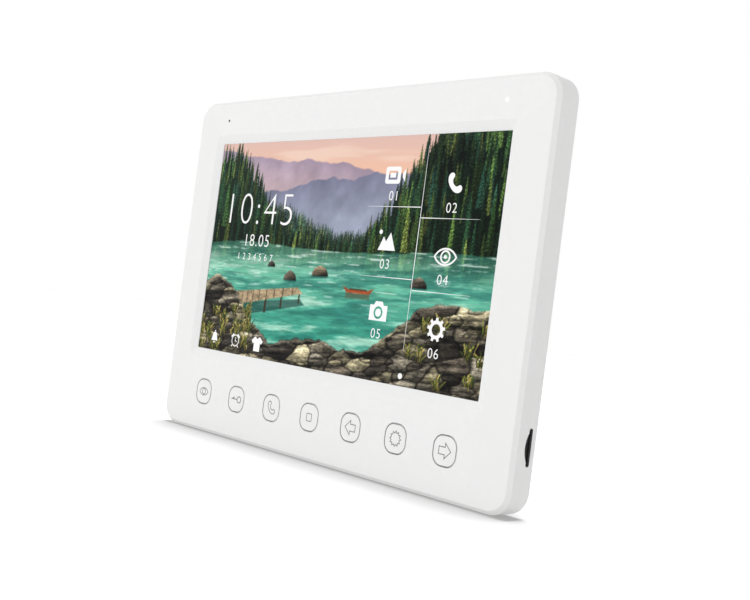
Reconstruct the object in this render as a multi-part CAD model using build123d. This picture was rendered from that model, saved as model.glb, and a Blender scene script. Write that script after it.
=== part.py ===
"""Seven-inch video intercom monitor hung on its steel wall bracket.

Millimetres. X runs to the right across the front, Y from the front towards the wall, Z up.
The origin is on the wall, at the centre of the bracket's screw pattern and of the casing's outline.
A depth is a distance behind the front face, towards the wall.
"""
from build123d import *
import math
import os

# ---------------------------------------------------------------- casing
case_side_margin = 17.35  # picture to the casing's side
corner_radius = 8.0
edge_chamfer = 1.27
wall = 2.0
shell_gap = 0.15  # rear shell inside the rim
flange_thickness = 1.8

# ---------------------------------------------------------------- rear housing
pod_projection = 9.8  # how far the housing stands behind the rim
pod_inset_side = 12.3  # rim to the housing's sides
pod_inset_end = 10.5  # rim to the housing's top and bottom
pod_corner = 6.0
pod_wall = 2.0
pod_edge_radius = 1.6
wall_gap = 0.5  # housing to wall

# ---------------------------------------------------------------- screen opening
view_width = 153.9
view_height = 85.3
bevel_side = 3.45
bevel_end = 3.3
bevel_corner = 2.0
view_corner = 0.4
bevel_depth = 1.25
lip = 0.25  # thickness left at the bevel's inner edge

# ---------------------------------------------------------------- display module
view_side_overlap = 0.1  # lit area hidden behind the frame, left and right
view_overlap = 0.34  # lit area hidden behind the frame, above and below
lcd_side_border = 5.4
lcd_top_border = 5.5
lcd_bottom_border = 8.58
lcd_gap = 0.2
display_key_gap = 3.045  # display to the keys' flanges
display_sound_gap = 0.78  # display to the microphone's ring
bezel_sheet = 0.15
cell_border = 3.2
cell_thickness = 1.1
film_thickness = 0.4
guide_thickness = 1.2
tray_sheet = 0.3
stack_gap = 0.05
strip_width = 1.4

# ---------------------------------------------------------------- keys
key_names = ["view", "unlock", "talk", "stop", "back", "settings", "forward"]
key_row_inset = 10.14  # outer keys' centres to the picture opening's sides
key_row_height = 15.8  # bottom of the casing to the row's centre line
key_hole = 10.35
key_corner = 4.0
key_gap = 0.2
key_edge = 0.15
key_flange = 1.0  # how far the flange reaches behind the panel
key_flange_thickness = 0.8
key_travel = 0.3
seat_gap = 0.05
switch_size = 5.2
switch_height = 1.5
plunger_radius = 1.3
plunger_length = 1.2
plunger_clearance = 0.05
stroke_gap = 0.1  # room left past the end of a stroke

# ---------------------------------------------------------------- boards
key_board_thickness = 1.0
key_board_height = 13.4
key_board_margin = 10.3  # beyond the outer keys' centres
main_board_thickness = 1.6
board_side_gap = 4.0  # main board to the housing's inner right side
board_top_gap = 5.5
board_bottom_gap = 19.5
board_speaker_gap = 5.9
ribbon_lift = 0.6  # cable plane above its board
ribbon_width = 13.0
ribbon_sheet = 0.2
ribbon_entry = 1.0  # how far a flat cable reaches into its connector
flat_connector_depth = 4.0
flat_connector_end = 1.0
flat_connector_slot = 0.3
lcd_flex_width = 30.0
lcd_flex_sheet = 0.15
lcd_flex_bend = 1.5
lcd_connector_drop = 15.0  # top of the main board to the display's connector

# ---------------------------------------------------------------- memory card
card_length = 15.0
card_width = 11.0
card_thickness = 0.7
card_ridge = 0.25
card_ridge_width = 8.0
card_setback = 0.9  # inside the casing's side
slot_height = 21.8  # bottom of the casing to the slot's centre
slot_side_gap = 0.4  # card to the slot's ends
slot_rear_gap = 0.6
slot_front_gap = 0.4
slot_bow = 1.3
scoop_inset = 1.2  # scoop to the slot's ends
scoop_reach = 1.7
scoop_depth = 0.5
socket_wall = 1.5
socket_end = 0.5
socket_cover = 0.35
socket_clearance = 0.1
socket_flange_gap = 0.4
board_edge = 0.6  # board left round the socket
ear_lap = 0.41  # the socket's ear into the key board

# ---------------------------------------------------------------- bracket
bracket_width = 80.0
bracket_height = 62.0
bracket_sheet = 1.2
bracket_corner = 5.0
screw_spacing_x = 60.0
screw_spacing_z = 50.0
wall_slot_radius = 2.2
wall_slot_length = 8.0
cable_window_width = 52.0
cable_window_height = 28.0
hook_inset = 7.0  # bracket's edge to the middle of a hook
upper_hook_level = 12.0
lower_hook_level = -8.0
hook_width = 7.0
hook_tongue = 5.0
hook_clearance = 0.2
side_clearance = 0.5
hook_rest_gap = 0.1
recess_depth = 0.8

# ---------------------------------------------------------------- connectors
well_width = 48.0
well_height = 24.0
well_wall = 1.5
vent_width = 1.6
vent_length = 9.0
vent_pitch = 5.0
vent_count = 13
header_depth = 5.75
header_height = 7.0
header_row_gap = 5.25
header_side_gap = 1.8  # first connector to the well's wall
header_spacing = 2.1
header_wall = 0.8
header_base = 1.5
header_end = 2.45  # first pin to the housing's end
pin_length = 4.2
pin_pitch = 2.5
pin_size = 0.64

# ---------------------------------------------------------------- speaker
speaker_radius = 18.0
speaker_gap = 0.3
magnet_radius = 9.5
magnet_thickness = 3.0
gasket_thickness = 0.6
speaker_rim = 1.0
speaker_basket = 4.0
cone_sheet = 0.3
grille_radius = 13.0
grille_slot = 1.5
grille_pitch = 2.8

# ---------------------------------------------------------------- microphone and status light
sound_inset = 20.3  # microphone and light to the casing's sides
sound_margin = 8.2  # top of the casing to their centres
mic_hole_radius = 0.55
mic_radius = 2.0
mic_thickness = 1.5
boot_radius = 2.7
boot_back = 0.6
boot_gap = 0.05
ring_wall = 0.75
pipe_radius = 0.8
pipe_clearance = 0.03
pipe_collar = 0.8
pipe_collar_thickness = 0.6
pipe_length = 3.1
led_size = 1.6
led_thickness = 0.7
led_gap = 0.2
led_board_width = 14.0
led_board_height = 6.0
led_board_thickness = 0.8
peg_radius = 0.7
peg_span = 10.0
peg_clearance = 0.1
lead_radius = 0.5

# ---------------------------------------------------------------- fasteners
boss_radius = 2.8
boss_gap = 0.6
rim_screw_inset = 4.0  # screw centres from the rim's inner wall
screw_radius = 1.25
screw_clearance = 0.05
screw_head_radius = 2.4
screw_head_height = 1.4
small_boss_radius = 2.3
small_screw_radius = 1.0
screw_bore_depth = 6.0  # pilot holes of the rear housing's pillars
small_head_radius = 1.9
small_head_height = 1.2
small_screw_length = 3.0
shell_screw_length = 5.0
board_screw_length = 5.0
speaker_screw_head = 2.6
speaker_screw_length = 2.2
drive_width = 0.6
drive_depth = 0.7
clip_thickness = 1.0
clip_reach = 3.0
clip_width = 9.0
clip_span = 60.0

# ---------------------------------------------------------------- parts on the main board
chip_corner = 0.4
chip_edge = 0.15
processor_size = 19.0
processor_thickness = 1.4
memory_width = 13.0
memory_height = 9.0
memory_thickness = 1.1
chip_spacing = 6.0
can_radius = 3.1
can_height = 4.8
can_foot = 6.6
can_foot_thickness = 0.9
can_pitch = 9.0
can_well_gap = 1.55  # capacitors' feet to the well's wall
inductor_size = 10.0
inductor_height = 3.2
inductor_cap = 0.6
crystal_length = 11.0
crystal_width = 4.6
crystal_height = 3.2
battery_radius = 6.25
battery_thickness = 2.0
battery_holder_width = 17.0
battery_holder_height = 15.0
battery_floor = 0.8
battery_rim = 0.2
part_edge_gap = 7.0  # main board's edge to the parts nearest it
lead_header_size = 5.0
lead_header_depth = 4.0
lead_header_height = 2.0
speaker_header_lift = 15.5  # bottom of the main board to the speaker header's centre
lead_header_drop = 14.0  # top of the main board to the lead headers' centres

# ---------------------------------------------------------------- derived depths
pocket_depth = bevel_depth + lip
cell_front = pocket_depth + bezel_sheet
film_front = cell_front + cell_thickness
guide_front = film_front + film_thickness
tray_front = guide_front + guide_thickness
lcd_back = tray_front + tray_sheet
key_flange_front = wall + seat_gap
plunger_front = key_flange_front + key_flange_thickness
switch_front = plunger_front + key_travel + 2 * stroke_gap
key_board_front = switch_front + switch_height
key_board_back = key_board_front + key_board_thickness
ribbon_plane = key_board_back + ribbon_lift
main_board_front = ribbon_plane + ribbon_lift
main_board_back = main_board_front + main_board_thickness
card_front = key_board_back + ribbon_lift
socket_back = card_front + card_thickness + socket_cover
slot_rear_depth = card_front + card_thickness + slot_rear_gap
flange_front = socket_back + socket_flange_gap
rim_depth = flange_front + flange_thickness
back_face = rim_depth + pod_projection
back_wall = back_face - pod_wall
recess_floor = back_face - recess_depth
total_depth = back_face + wall_gap

# ---------------------------------------------------------------- derived sizes and places
key_size = key_hole - 2 * key_gap
key_reach = key_size / 2 + key_flange
view_top_margin = (sound_margin + boot_radius + boot_gap + ring_wall + display_sound_gap
                   + lcd_top_border - view_overlap)
view_bottom_margin = key_row_height + key_reach + display_key_gap + lcd_bottom_border - view_overlap
case_width = view_width + 2 * case_side_margin
case_height = view_height + view_top_margin + view_bottom_margin
inner_half_width = case_width / 2 - wall
inner_half_height = case_height / 2 - wall
pod_width = case_width - 2 * pod_inset_side
pod_height = case_height - 2 * pod_inset_end
pod_inner_width = pod_width - 2 * pod_wall
pod_inner_height = pod_height - 2 * pod_wall
view_z = case_height / 2 - view_top_margin - view_height / 2
active_width = view_width + 2 * view_side_overlap
active_height = view_height + 2 * view_overlap
lcd_width = active_width + 2 * lcd_side_border
lcd_height = active_height + lcd_top_border + lcd_bottom_border
lcd_z = view_z + (lcd_top_border - lcd_bottom_border) / 2
key_z = key_row_height - case_height / 2
key_pitch = (view_width - 2 * key_row_inset) / (len(key_names) - 1)
key_xs = [key_pitch * (index - (len(key_names) - 1) / 2) for index in range(len(key_names))]
slot_z = slot_height - case_height / 2
sound_z = case_height / 2 - sound_margin
sound_x = case_width / 2 - sound_inset
speaker_x = -pod_inner_width / 2 + speaker_radius + speaker_gap + ring_wall
speaker_z = -pod_inner_height / 2 + speaker_radius + speaker_gap + ring_wall
speaker_rim_front = back_wall - gasket_thickness - speaker_rim
basket_front = speaker_rim_front - speaker_basket
magnet_front = basket_front - magnet_thickness
board_left = speaker_x + speaker_radius + speaker_gap + ring_wall + board_speaker_gap
board_right = pod_inner_width / 2 - board_side_gap
board_top = pod_inner_height / 2 - board_top_gap
board_bottom = -pod_inner_height / 2 + board_bottom_gap
board_x = (board_left + board_right) / 2
board_z = (board_top + board_bottom) / 2
ribbon_x = key_pitch * 1.5
card_right = case_width / 2 - card_setback
card_left = card_right - card_length
slot_length = card_width + 2 * slot_side_gap
slot_end_width = slot_rear_gap + card_thickness + slot_front_gap
socket_left = card_left - socket_end
socket_right = inner_half_width - boss_gap - stroke_gap
socket_half = card_width / 2 + socket_wall
hook_x = bracket_width / 2 - hook_inset
hook_lift = hook_tongue + hook_clearance + side_clearance


# ---------------------------------------------------------------- drawing helpers
def y_at(depth):
    """Y of a depth behind the front face."""
    return depth - total_depth


def slab(outline, depth, thickness):
    """A front-view outline (X right, Z up) made solid from a depth towards the wall."""
    return extrude(Plane.XZ.offset(-y_at(depth + thickness)) * outline, thickness)


def bar(x0, x1, z0, z1, depth, thickness):
    """A plain block between two X and two Z limits."""
    return slab(Pos((x0 + x1) / 2, (z0 + z1) / 2) * Rectangle(x1 - x0, z1 - z0), depth, thickness)


def disc(x, z, radius, depth, thickness):
    """A round piece whose axis runs from front to back."""
    return slab(Pos(x, z) * Circle(radius), depth, thickness)


def frame_outline(width, height, radius, rim):
    """A rounded rectangle with a band of the given width left round it."""
    return RectangleRounded(width, height, radius) - Rectangle(width - 2 * rim, height - 2 * rim)


def turned(points, x, z):
    """A piece turned about a front-to-back axis, from (radius, depth) points."""
    profile = make_face(Polyline([(radius, y_at(depth)) for radius, depth in points], close=True))
    return Pos(x, 0, z) * revolve(profile, Axis.Y)


def group(pieces):
    """Separate solids kept together in one node."""
    return Compound([solid for piece in pieces for solid in piece.solids()])


def lead(points, radii):
    """A round insulated lead along straight runs and tangent arcs; points are (x, depth, z)."""
    path = FilletPolyline(*[(x, y_at(depth), z) for x, depth, z in points], radius=radii)
    return sweep(Plane(path @ 0, z_dir=path % 0) * Circle(lead_radius), path)


def screw(x, z, head_depth, head_radius, head_height, shank_radius, length, side, sunk=False):
    """A cross-head screw; side is +1 where its head faces the wall, -1 where it faces the front."""
    head_end = head_depth + side * head_height
    tip = head_depth - side * length
    outer = head_radius
    neck = shank_radius if sunk else head_radius
    profile = [(0, head_end), (outer, head_end), (neck, head_depth), (shank_radius, head_depth)]
    profile += [(shank_radius, tip + side * shank_radius), (shank_radius / 3, tip), (0, tip)]
    if sunk:
        profile.remove((neck, head_depth))
    body = turned(profile, x, z)
    cross = Rectangle(head_radius * 1.3, drive_width) + Rectangle(drive_width, head_radius * 1.3)
    return body - slab(Pos(x, z) * cross, min(head_end, head_end - side * drive_depth), drive_depth)


# ---------------------------------------------------------------- fastener places
def shell_screw_points():
    """Six screws that join the shells, in the flange between rim and housing."""
    x = inner_half_width - rim_screw_inset
    z = inner_half_height - rim_screw_inset
    return [(side * x, level) for side in (-1, 1) for level in (-z, 0, z)]


def clip_points():
    """Four bosses beside the display, for the clips that hold it."""
    x = lcd_width / 2 + lcd_gap + small_boss_radius + boss_gap
    return [(side * x, lcd_z + level * clip_span / 2) for side in (-1, 1) for level in (-1, 1)]


def key_board_screw_points():
    """Four bosses between the keys."""
    return [(key_pitch * step, key_z) for step in (-2.5, -0.5, 0.5, 2.5)]


def main_board_screw_points():
    """The main board's four corner posts."""
    inset = 2 * small_boss_radius
    return [(x, z) for x in (board_left + inset, board_right - inset)
            for z in (board_bottom + inset, board_top - inset)]


def speaker_screw_points():
    """Two bosses across the speaker's rim."""
    reach = (speaker_radius + speaker_gap + small_screw_radius + boss_gap) / math.sqrt(2)
    return [(speaker_x + reach, speaker_z + reach), (speaker_x + reach, speaker_z - reach)]


def peg_points():
    """Two pegs that carry the light's board."""
    return [(sound_x + side * peg_span / 2, sound_z) for side in (-1, 1)]


# ---------------------------------------------------------------- shells
def card_slot():
    """The D-shaped slot through the casing's right side, straight at its rear and bowed at its front."""
    centre = y_at(slot_rear_depth - slot_end_width / 2)
    straight = Pos(centre, slot_z) * RectangleRounded(slot_end_width, slot_length, slot_end_width * 0.45)
    half = slot_length / 2 - slot_end_width * 0.2
    sagitta = slot_bow + slot_end_width / 2
    radius = (half * half + sagitta * sagitta) / (2 * sagitta)
    front = y_at(slot_rear_depth - slot_end_width - slot_bow)
    bow = Pos(front + radius, slot_z) * Circle(radius)
    bow &= Pos(front + sagitta / 2, slot_z) * Rectangle(sagitta, 2 * half)
    return extrude(Plane.YZ.offset(inner_half_width - 1) * (straight + bow), wall + 2)


def finger_scoop():
    """A spherical hollow behind the slot's rear edge."""
    half = slot_length / 2 - scoop_inset
    circle = (half * half + scoop_reach * scoop_reach) / (2 * scoop_reach)
    chord = circle - scoop_reach
    stand_off = (half * half - scoop_depth * scoop_depth) / (2 * scoop_depth)
    ball = Sphere(math.hypot(circle, stand_off))
    ball = Pos(case_width / 2 + stand_off, y_at(slot_rear_depth - chord), slot_z) * ball
    reach = 4 * circle
    rear = Pos(case_width / 2, y_at(slot_rear_depth) + reach / 2, slot_z) * Box(reach, reach, reach)
    return ball & rear


def front_shell():
    """White front with the screen's sloped frame, key holes, sound hole and all front bosses."""
    shell = slab(RectangleRounded(case_width, case_height, corner_radius), 0, rim_depth)
    shell = chamfer(shell.faces().sort_by(Axis.Y)[0].edges(), edge_chamfer)
    hollow = RectangleRounded(2 * inner_half_width, 2 * inner_half_height, corner_radius - wall)
    shell -= slab(hollow, wall, rim_depth - wall)

    window = Pos(0, view_z) * RectangleRounded(view_width, view_height, view_corner)
    outer = RectangleRounded(view_width + 2 * bevel_side, view_height + 2 * bevel_end, bevel_corner)
    mouth = Plane.XZ.offset(-y_at(0)) * (Pos(0, view_z) * outer)
    throat = Plane.XZ.offset(-y_at(bevel_depth)) * window
    shell -= loft([mouth, throat], ruled=True)
    shell -= slab(window, 0, wall)
    pocket = Pos(0, lcd_z) * Rectangle(lcd_width + 2 * lcd_gap, lcd_height + 2 * lcd_gap)
    shell -= slab(pocket, pocket_depth, wall - pocket_depth)

    for x in key_xs:
        shell -= slab(Pos(x, key_z) * RectangleRounded(key_hole, key_hole, key_corner), 0, wall)

    for x, z in shell_screw_points():
        shell += disc(x, z, boss_radius, wall, flange_front - seat_gap - wall)
        shell -= disc(x, z, screw_radius + screw_clearance, wall, flange_front - wall)
    for x, z in clip_points():
        shell += disc(x, z, small_boss_radius, wall, lcd_back - wall)
        shell -= disc(x, z, small_screw_radius + screw_clearance, wall, lcd_back - wall)
    for x, z in key_board_screw_points():
        shell += disc(x, z, small_boss_radius, wall, key_board_front - wall)
        shell -= disc(x, z, small_screw_radius + screw_clearance, wall, key_board_front - wall)

    ring = boot_radius + boot_gap
    shell += disc(-sound_x, sound_z, ring + ring_wall, wall, mic_thickness)
    shell -= disc(-sound_x, sound_z, ring, wall, mic_thickness)
    shell -= disc(-sound_x, sound_z, mic_hole_radius, 0, wall)
    shell -= disc(sound_x, sound_z, pipe_radius + pipe_clearance, 0, wall)
    board = pipe_length + led_gap + led_thickness
    for x, z in peg_points():
        shell += disc(x, z, 2 * peg_radius, wall, board - wall)
        shell += disc(x, z, peg_radius, board, 2 * led_board_thickness)

    shell -= card_slot()
    shell -= finger_scoop()
    return shell


def grille():
    """Sound slots over the speaker, shorter towards its edge."""
    cutter = Sketch()
    side_slots = int((grille_radius - grille_slot) / grille_pitch)
    for step in range(-side_slots, side_slots + 1):
        offset = step * grille_pitch
        length = 2 * math.sqrt(grille_radius ** 2 - offset ** 2)
        slot = RectangleRounded(grille_slot, length, grille_slot * 0.49)
        cutter += Pos(speaker_x + offset, speaker_z) * slot
    return slab(cutter, back_wall, pod_wall)


def vents():
    """Cooling slots above the bracket."""
    cutter = Sketch()
    level = (bracket_height + pod_inner_height) / 4
    for step in range(vent_count):
        x = (step - (vent_count - 1) / 2) * vent_pitch
        cutter += Pos(x, level) * RectangleRounded(vent_width, vent_length, vent_width * 0.49)
    return slab(cutter, back_wall, pod_wall)


def rear_shell():
    """White back: a flange that closes the rim and a housing stepped in behind it."""
    flange_fit = wall + shell_gap
    flange = RectangleRounded(
        case_width - 2 * flange_fit, case_height - 2 * flange_fit, corner_radius - flange_fit)
    pod = slab(RectangleRounded(pod_width, pod_height, pod_corner), flange_front, back_face - flange_front)
    pod = fillet(pod.faces().sort_by(Axis.Y)[-1].edges(), pod_edge_radius)
    shell = slab(flange, flange_front, flange_thickness) + pod
    hollow = RectangleRounded(pod_inner_width, pod_inner_height, pod_corner - pod_wall)
    shell -= slab(hollow, flange_front, back_wall - flange_front)

    recess_top = bracket_height / 2 + side_clearance
    recess_bottom = -bracket_height / 2 - side_clearance - hook_lift
    recess_half = bracket_width / 2 + side_clearance
    recess = Pos(0, (recess_top + recess_bottom) / 2) * RectangleRounded(
        2 * recess_half, recess_top - recess_bottom, bracket_corner)
    shell -= slab(recess, recess_floor, recess_depth)
    for x, level in hook_places():
        top = level + bracket_sheet + hook_rest_gap
        bottom = level - hook_lift - side_clearance
        half = hook_width / 2 + side_clearance
        shell -= bar(x - half, x + half, bottom, top, back_wall, pod_wall)

    well_front = main_board_back + stroke_gap
    well = Rectangle(well_width + 2 * well_wall, well_height + 2 * well_wall)
    shell += slab(well, well_front, back_wall - well_front)
    shell -= slab(Rectangle(well_width, well_height), well_front, back_face - well_front)

    for x, z in shell_screw_points():
        head = [(0, rim_depth), (screw_head_radius + seat_gap, rim_depth)]
        throat = screw_radius + 2 * screw_clearance
        head += [(throat, rim_depth - screw_head_height), (throat, flange_front), (0, flange_front)]
        shell -= turned(head, x, z)
    for x, z in main_board_screw_points():
        shell += disc(x, z, small_boss_radius, main_board_back, back_wall - main_board_back)
        shell -= disc(x, z, small_screw_radius + screw_clearance, main_board_back, screw_bore_depth)

    ring = speaker_radius + speaker_gap
    ring_height = back_wall - speaker_rim_front
    seat = disc(speaker_x, speaker_z, ring, speaker_rim_front, ring_height)
    shell += disc(speaker_x, speaker_z, ring + ring_wall, speaker_rim_front, ring_height) - seat
    for x, z in speaker_screw_points():
        shell += disc(x, z, small_boss_radius, speaker_rim_front, ring_height) - seat
        bore = speaker_screw_length + stroke_gap
        shell -= disc(x, z, small_screw_radius + screw_clearance, speaker_rim_front, bore)
    shell -= grille()
    shell -= vents()
    return shell


# ---------------------------------------------------------------- wall bracket
def hook_places():
    """X and level of each hook's root."""
    return [(side * hook_x, level) for side in (-1, 1) for level in (upper_hook_level, lower_hook_level)]


def wall_bracket():
    """Steel plate with four slotted screw holes, a cable window and four bent hooks."""
    plate_front = total_depth - bracket_sheet
    plate = slab(RectangleRounded(bracket_width, bracket_height, bracket_corner), plate_front, bracket_sheet)
    plate -= slab(RectangleRounded(cable_window_width, cable_window_height, 3), plate_front, bracket_sheet)
    for side in (-1, 1):
        for level in (-1, 1):
            slot = SlotOverall(wall_slot_length, 2 * wall_slot_radius)
            centre = Pos(side * screw_spacing_x / 2, level * screw_spacing_z / 2)
            plate -= slab(centre * slot, plate_front, bracket_sheet)
    tongue_front = back_wall - hook_clearance - bracket_sheet
    for x, level in hook_places():
        left, right = x - hook_width / 2, x + hook_width / 2
        bent = hook_tongue + plate_front - tongue_front
        plate -= bar(left - 0.2, right + 0.2, level - bent, level, plate_front, bracket_sheet)
        plate += bar(left, right, level, level + bracket_sheet, tongue_front, plate_front - tongue_front)
        plate += bar(left, right, level, level + bracket_sheet + hook_tongue, tongue_front, bracket_sheet)
    return plate


# ---------------------------------------------------------------- display
def lcd_bezel():
    """Thin steel frame folded round the display's edge."""
    window = Rectangle(active_width + 1.2, active_height + 1.2)
    outline = Pos(0, lcd_z) * Rectangle(lcd_width, lcd_height)
    face = slab(outline - Pos(0, view_z) * window, pocket_depth, bezel_sheet)
    side = Pos(0, lcd_z) * frame_outline(lcd_width, lcd_height, 0.3, bezel_sheet)
    return face + slab(side, pocket_depth, lcd_back - pocket_depth)


def lcd_cell():
    """Two glass sheets with polarisers: the picture's surface."""
    size = Rectangle(active_width + 2 * cell_border, active_height + 2 * cell_border)
    return slab(Pos(0, view_z) * size, cell_front, cell_thickness)


def lcd_mid_frame():
    """White plastic frame that locates glass, films and light guide."""
    inset = bezel_sheet + stack_gap
    outline = Pos(0, lcd_z) * Rectangle(lcd_width - 2 * inset, lcd_height - 2 * inset)
    border = 2 * (cell_border + stack_gap)
    hole = Pos(0, view_z) * Rectangle(active_width + border, active_height + border)
    return slab(outline - hole, cell_front, tray_front - cell_front)


def diffuser_films():
    """Stack of diffuser and prism films."""
    size = Rectangle(active_width + 2 * cell_border, active_height + 2 * cell_border)
    return slab(Pos(0, view_z) * size, film_front, film_thickness)


def light_guide():
    """Clear plate that spreads the light from its bottom edge."""
    top = view_z + active_height / 2 + cell_border
    bottom = view_z - active_height / 2 - cell_border + strip_width + stack_gap
    half = active_width / 2 + cell_border
    return bar(-half, half, bottom, top, guide_front, guide_thickness)


def backlight_strip():
    """Row of side-view LEDs on a thin strip under the light guide."""
    bottom = view_z - active_height / 2 - cell_border
    half = active_width / 2 + cell_border
    strip = bar(-half, half, bottom, bottom + strip_width / 2, guide_front, guide_thickness)
    count = 15
    for index in range(count):
        x = (index - (count - 1) / 2) * 2 * half / (count + 0.5)
        strip += bar(x - 1.5, x + 1.5, bottom, bottom + strip_width, guide_front, guide_thickness)
    return strip


def lcd_tray():
    """Steel back of the display."""
    inset = bezel_sheet + stack_gap
    size = Rectangle(lcd_width - 2 * inset, lcd_height - 2 * inset)
    return slab(Pos(0, lcd_z) * size, tray_front, tray_sheet)


def lcd_flex():
    """Flexible circuit from the display's back to the main board."""
    start = y_at(lcd_back + lcd_flex_sheet / 2)
    end = y_at(ribbon_plane)
    mouth = board_top - lcd_connector_drop + flat_connector_depth / 2
    rise = 2 * lcd_flex_bend
    path = FilletPolyline((start, mouth + 5 * rise), (start, mouth + 2 * rise), (end, mouth + rise),
                          (end, mouth - ribbon_entry), radius=lcd_flex_bend)
    section = trace(path, lcd_flex_sheet)
    return extrude(Plane.YZ.offset(board_x - lcd_flex_width / 2) * section, lcd_flex_width)


def lcd_clips():
    """Four flat clips that hold the display into its pocket."""
    clips = []
    for x, z in clip_points():
        side = math.copysign(1, x)
        inner = side * (lcd_width / 2 - clip_reach)
        outer = x + side * small_boss_radius
        outline = Pos((inner + outer) / 2, z) * Rectangle(abs(outer - inner), clip_width)
        outline -= Pos(x, z) * Circle(small_screw_radius + 2 * screw_clearance)
        clips.append(slab(outline, lcd_back, clip_thickness))
    return group(clips)


# ---------------------------------------------------------------- keys
def key_cap(x):
    """White key, flush with the panel, with a flange that keeps it in."""
    outline = RectangleRounded(key_size, key_size, key_corner - key_gap)
    cap = slab(Pos(x, key_z) * outline, 0, plunger_front)
    cap = fillet(cap.faces().sort_by(Axis.Y)[0].edges(), key_edge)
    flange = Pos(x, key_z) * RectangleRounded(2 * key_reach, 2 * key_reach, key_corner)
    return cap + slab(flange, key_flange_front, key_flange_thickness)


def switch_plunger(x):
    """The switch's own round plunger, which the key rests on."""
    return disc(x, key_z, plunger_radius, plunger_front, plunger_length)


def switch_bodies():
    """Seven low tact switches, each with a bore for its plunger."""
    bodies = []
    for x in key_xs:
        outline = Pos(x, key_z) * RectangleRounded(switch_size, switch_size, 0.5)
        body = slab(outline, switch_front, switch_height)
        bore = plunger_front + plunger_length + key_travel + stroke_gap - switch_front
        bodies.append(body - disc(x, key_z, plunger_radius + plunger_clearance, switch_front, bore))
    return group(bodies)


def key_board():
    """Circuit board behind the keys, with an ear that carries the card socket."""
    half_length = key_xs[-1] + key_board_margin
    bottom, top = key_z - key_board_height / 2, key_z + key_board_height / 2
    ear = socket_half + board_edge
    board = bar(-half_length, half_length, bottom, top, key_board_front, key_board_thickness)
    ear_left = min(half_length - ear_lap, socket_left - 2 * board_edge)
    board += bar(ear_left, inner_half_width - boss_gap, slot_z - ear, slot_z + ear,
                 key_board_front, key_board_thickness)
    for x, z in key_board_screw_points():
        board -= disc(x, z, small_screw_radius + 2 * screw_clearance, key_board_front, key_board_thickness)
    return board


# ---------------------------------------------------------------- memory card
def memory_card():
    """Black memory card with a finger ridge at its outer end."""
    low, high = slot_z - card_width / 2, slot_z + card_width / 2
    card = bar(card_left, card_right, low, high, card_front, card_thickness)
    card -= bar(card_left, card_left + card_length * 0.39, high - card_width * 0.12, high, card_front,
                card_thickness)
    ridge = Pos(card_right - 0.7, slot_z) * Rectangle(1, card_ridge_width)
    return card + slab(ridge, card_front - card_ridge, card_ridge)


def card_socket():
    """Socket open towards the casing's side."""
    gap = socket_clearance
    body = bar(socket_left, socket_right, slot_z - socket_half, slot_z + socket_half, key_board_back,
               socket_back - key_board_back)
    half = card_width / 2 + gap
    return body - bar(card_left - gap, socket_right, slot_z - half, slot_z + half,
                      card_front - card_ridge - gap, card_thickness + card_ridge + 2 * gap)


# ---------------------------------------------------------------- boards and their parts
def main_board():
    """Main circuit board on the housing's posts."""
    outline = Pos(board_x, board_z) * RectangleRounded(board_right - board_left, board_top - board_bottom, 2)
    board = slab(outline, main_board_front, main_board_thickness)
    for x, z in main_board_screw_points():
        board -= disc(x, z, small_screw_radius + 2 * screw_clearance, main_board_front, main_board_thickness)
    return board


def flat_connector(x, z, cable_width, depth):
    """Flat-cable connector, slotted through for the cable's end."""
    height = 2 * ribbon_lift
    width = cable_width + 4 * flat_connector_end
    body = slab(Pos(x, z) * Rectangle(width, flat_connector_depth), depth, height)
    slot = Pos(x, z) * Rectangle(width - 2 * flat_connector_end, flat_connector_depth)
    return body - slab(slot, depth + (height - flat_connector_slot) / 2, flat_connector_slot)


def ribbon_ends():
    """Z of the key cable's two connectors: on the key board and on the main board."""
    return key_z + 3 * ribbon_entry, board_bottom + flat_connector_depth / 2 + 3 * ribbon_entry


def ribbon_connectors():
    """The two connectors at the ends of the key cable."""
    low, high = ribbon_ends()
    return group([flat_connector(ribbon_x, low, ribbon_width, key_board_back),
                  flat_connector(ribbon_x, high, ribbon_width, ribbon_plane - ribbon_lift)])


def key_ribbon():
    """Flat cable from the key board up to the main board."""
    low, high = ribbon_ends()
    reach = flat_connector_depth / 2 - ribbon_entry
    return bar(ribbon_x - ribbon_width / 2, ribbon_x + ribbon_width / 2, low + reach, high - reach,
               ribbon_plane - ribbon_sheet / 2, ribbon_sheet)


def lcd_connector():
    """The display's connector on the main board."""
    return flat_connector(board_x, board_top - lcd_connector_drop, lcd_flex_width, ribbon_plane - ribbon_lift)


def chip(x, z, width, height, thickness):
    """A flat chip package on the main board's front, its edges cut."""
    outline = Pos(x, z) * RectangleRounded(width, height, chip_corner)
    package = slab(outline, main_board_front - thickness, thickness)
    return chamfer(package.faces().sort_by(Axis.Y)[0].edges(), chip_edge)


def processor():
    """Large chip in the middle of the main board."""
    return chip(board_x - processor_size / 2, board_z, processor_size, processor_size, processor_thickness)


def memory_chips():
    """Two memory chips beside the processor."""
    x = board_x + chip_spacing + memory_width / 2
    offset = (memory_height + chip_spacing) / 2
    return group([chip(x, board_z + side * offset, memory_width, memory_height, memory_thickness)
                  for side in (-1, 1)])


def capacitors():
    """Can capacitors on square feet, on the main board's rear below the well."""
    left = board_right - 4.5 * part_edge_gap
    high = -well_height / 2 - well_wall - can_well_gap - can_foot / 2
    places = [(left - can_pitch * column, high - can_pitch * row) for column in (1, 2) for row in (1, 0)]
    cans = []
    for x, z in places:
        foot = slab(Pos(x, z) * Rectangle(can_foot, can_foot), main_board_back, can_foot_thickness)
        cans.append(foot + disc(x, z, can_radius, main_board_back + can_foot_thickness, can_height))
    return group(cans)


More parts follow.
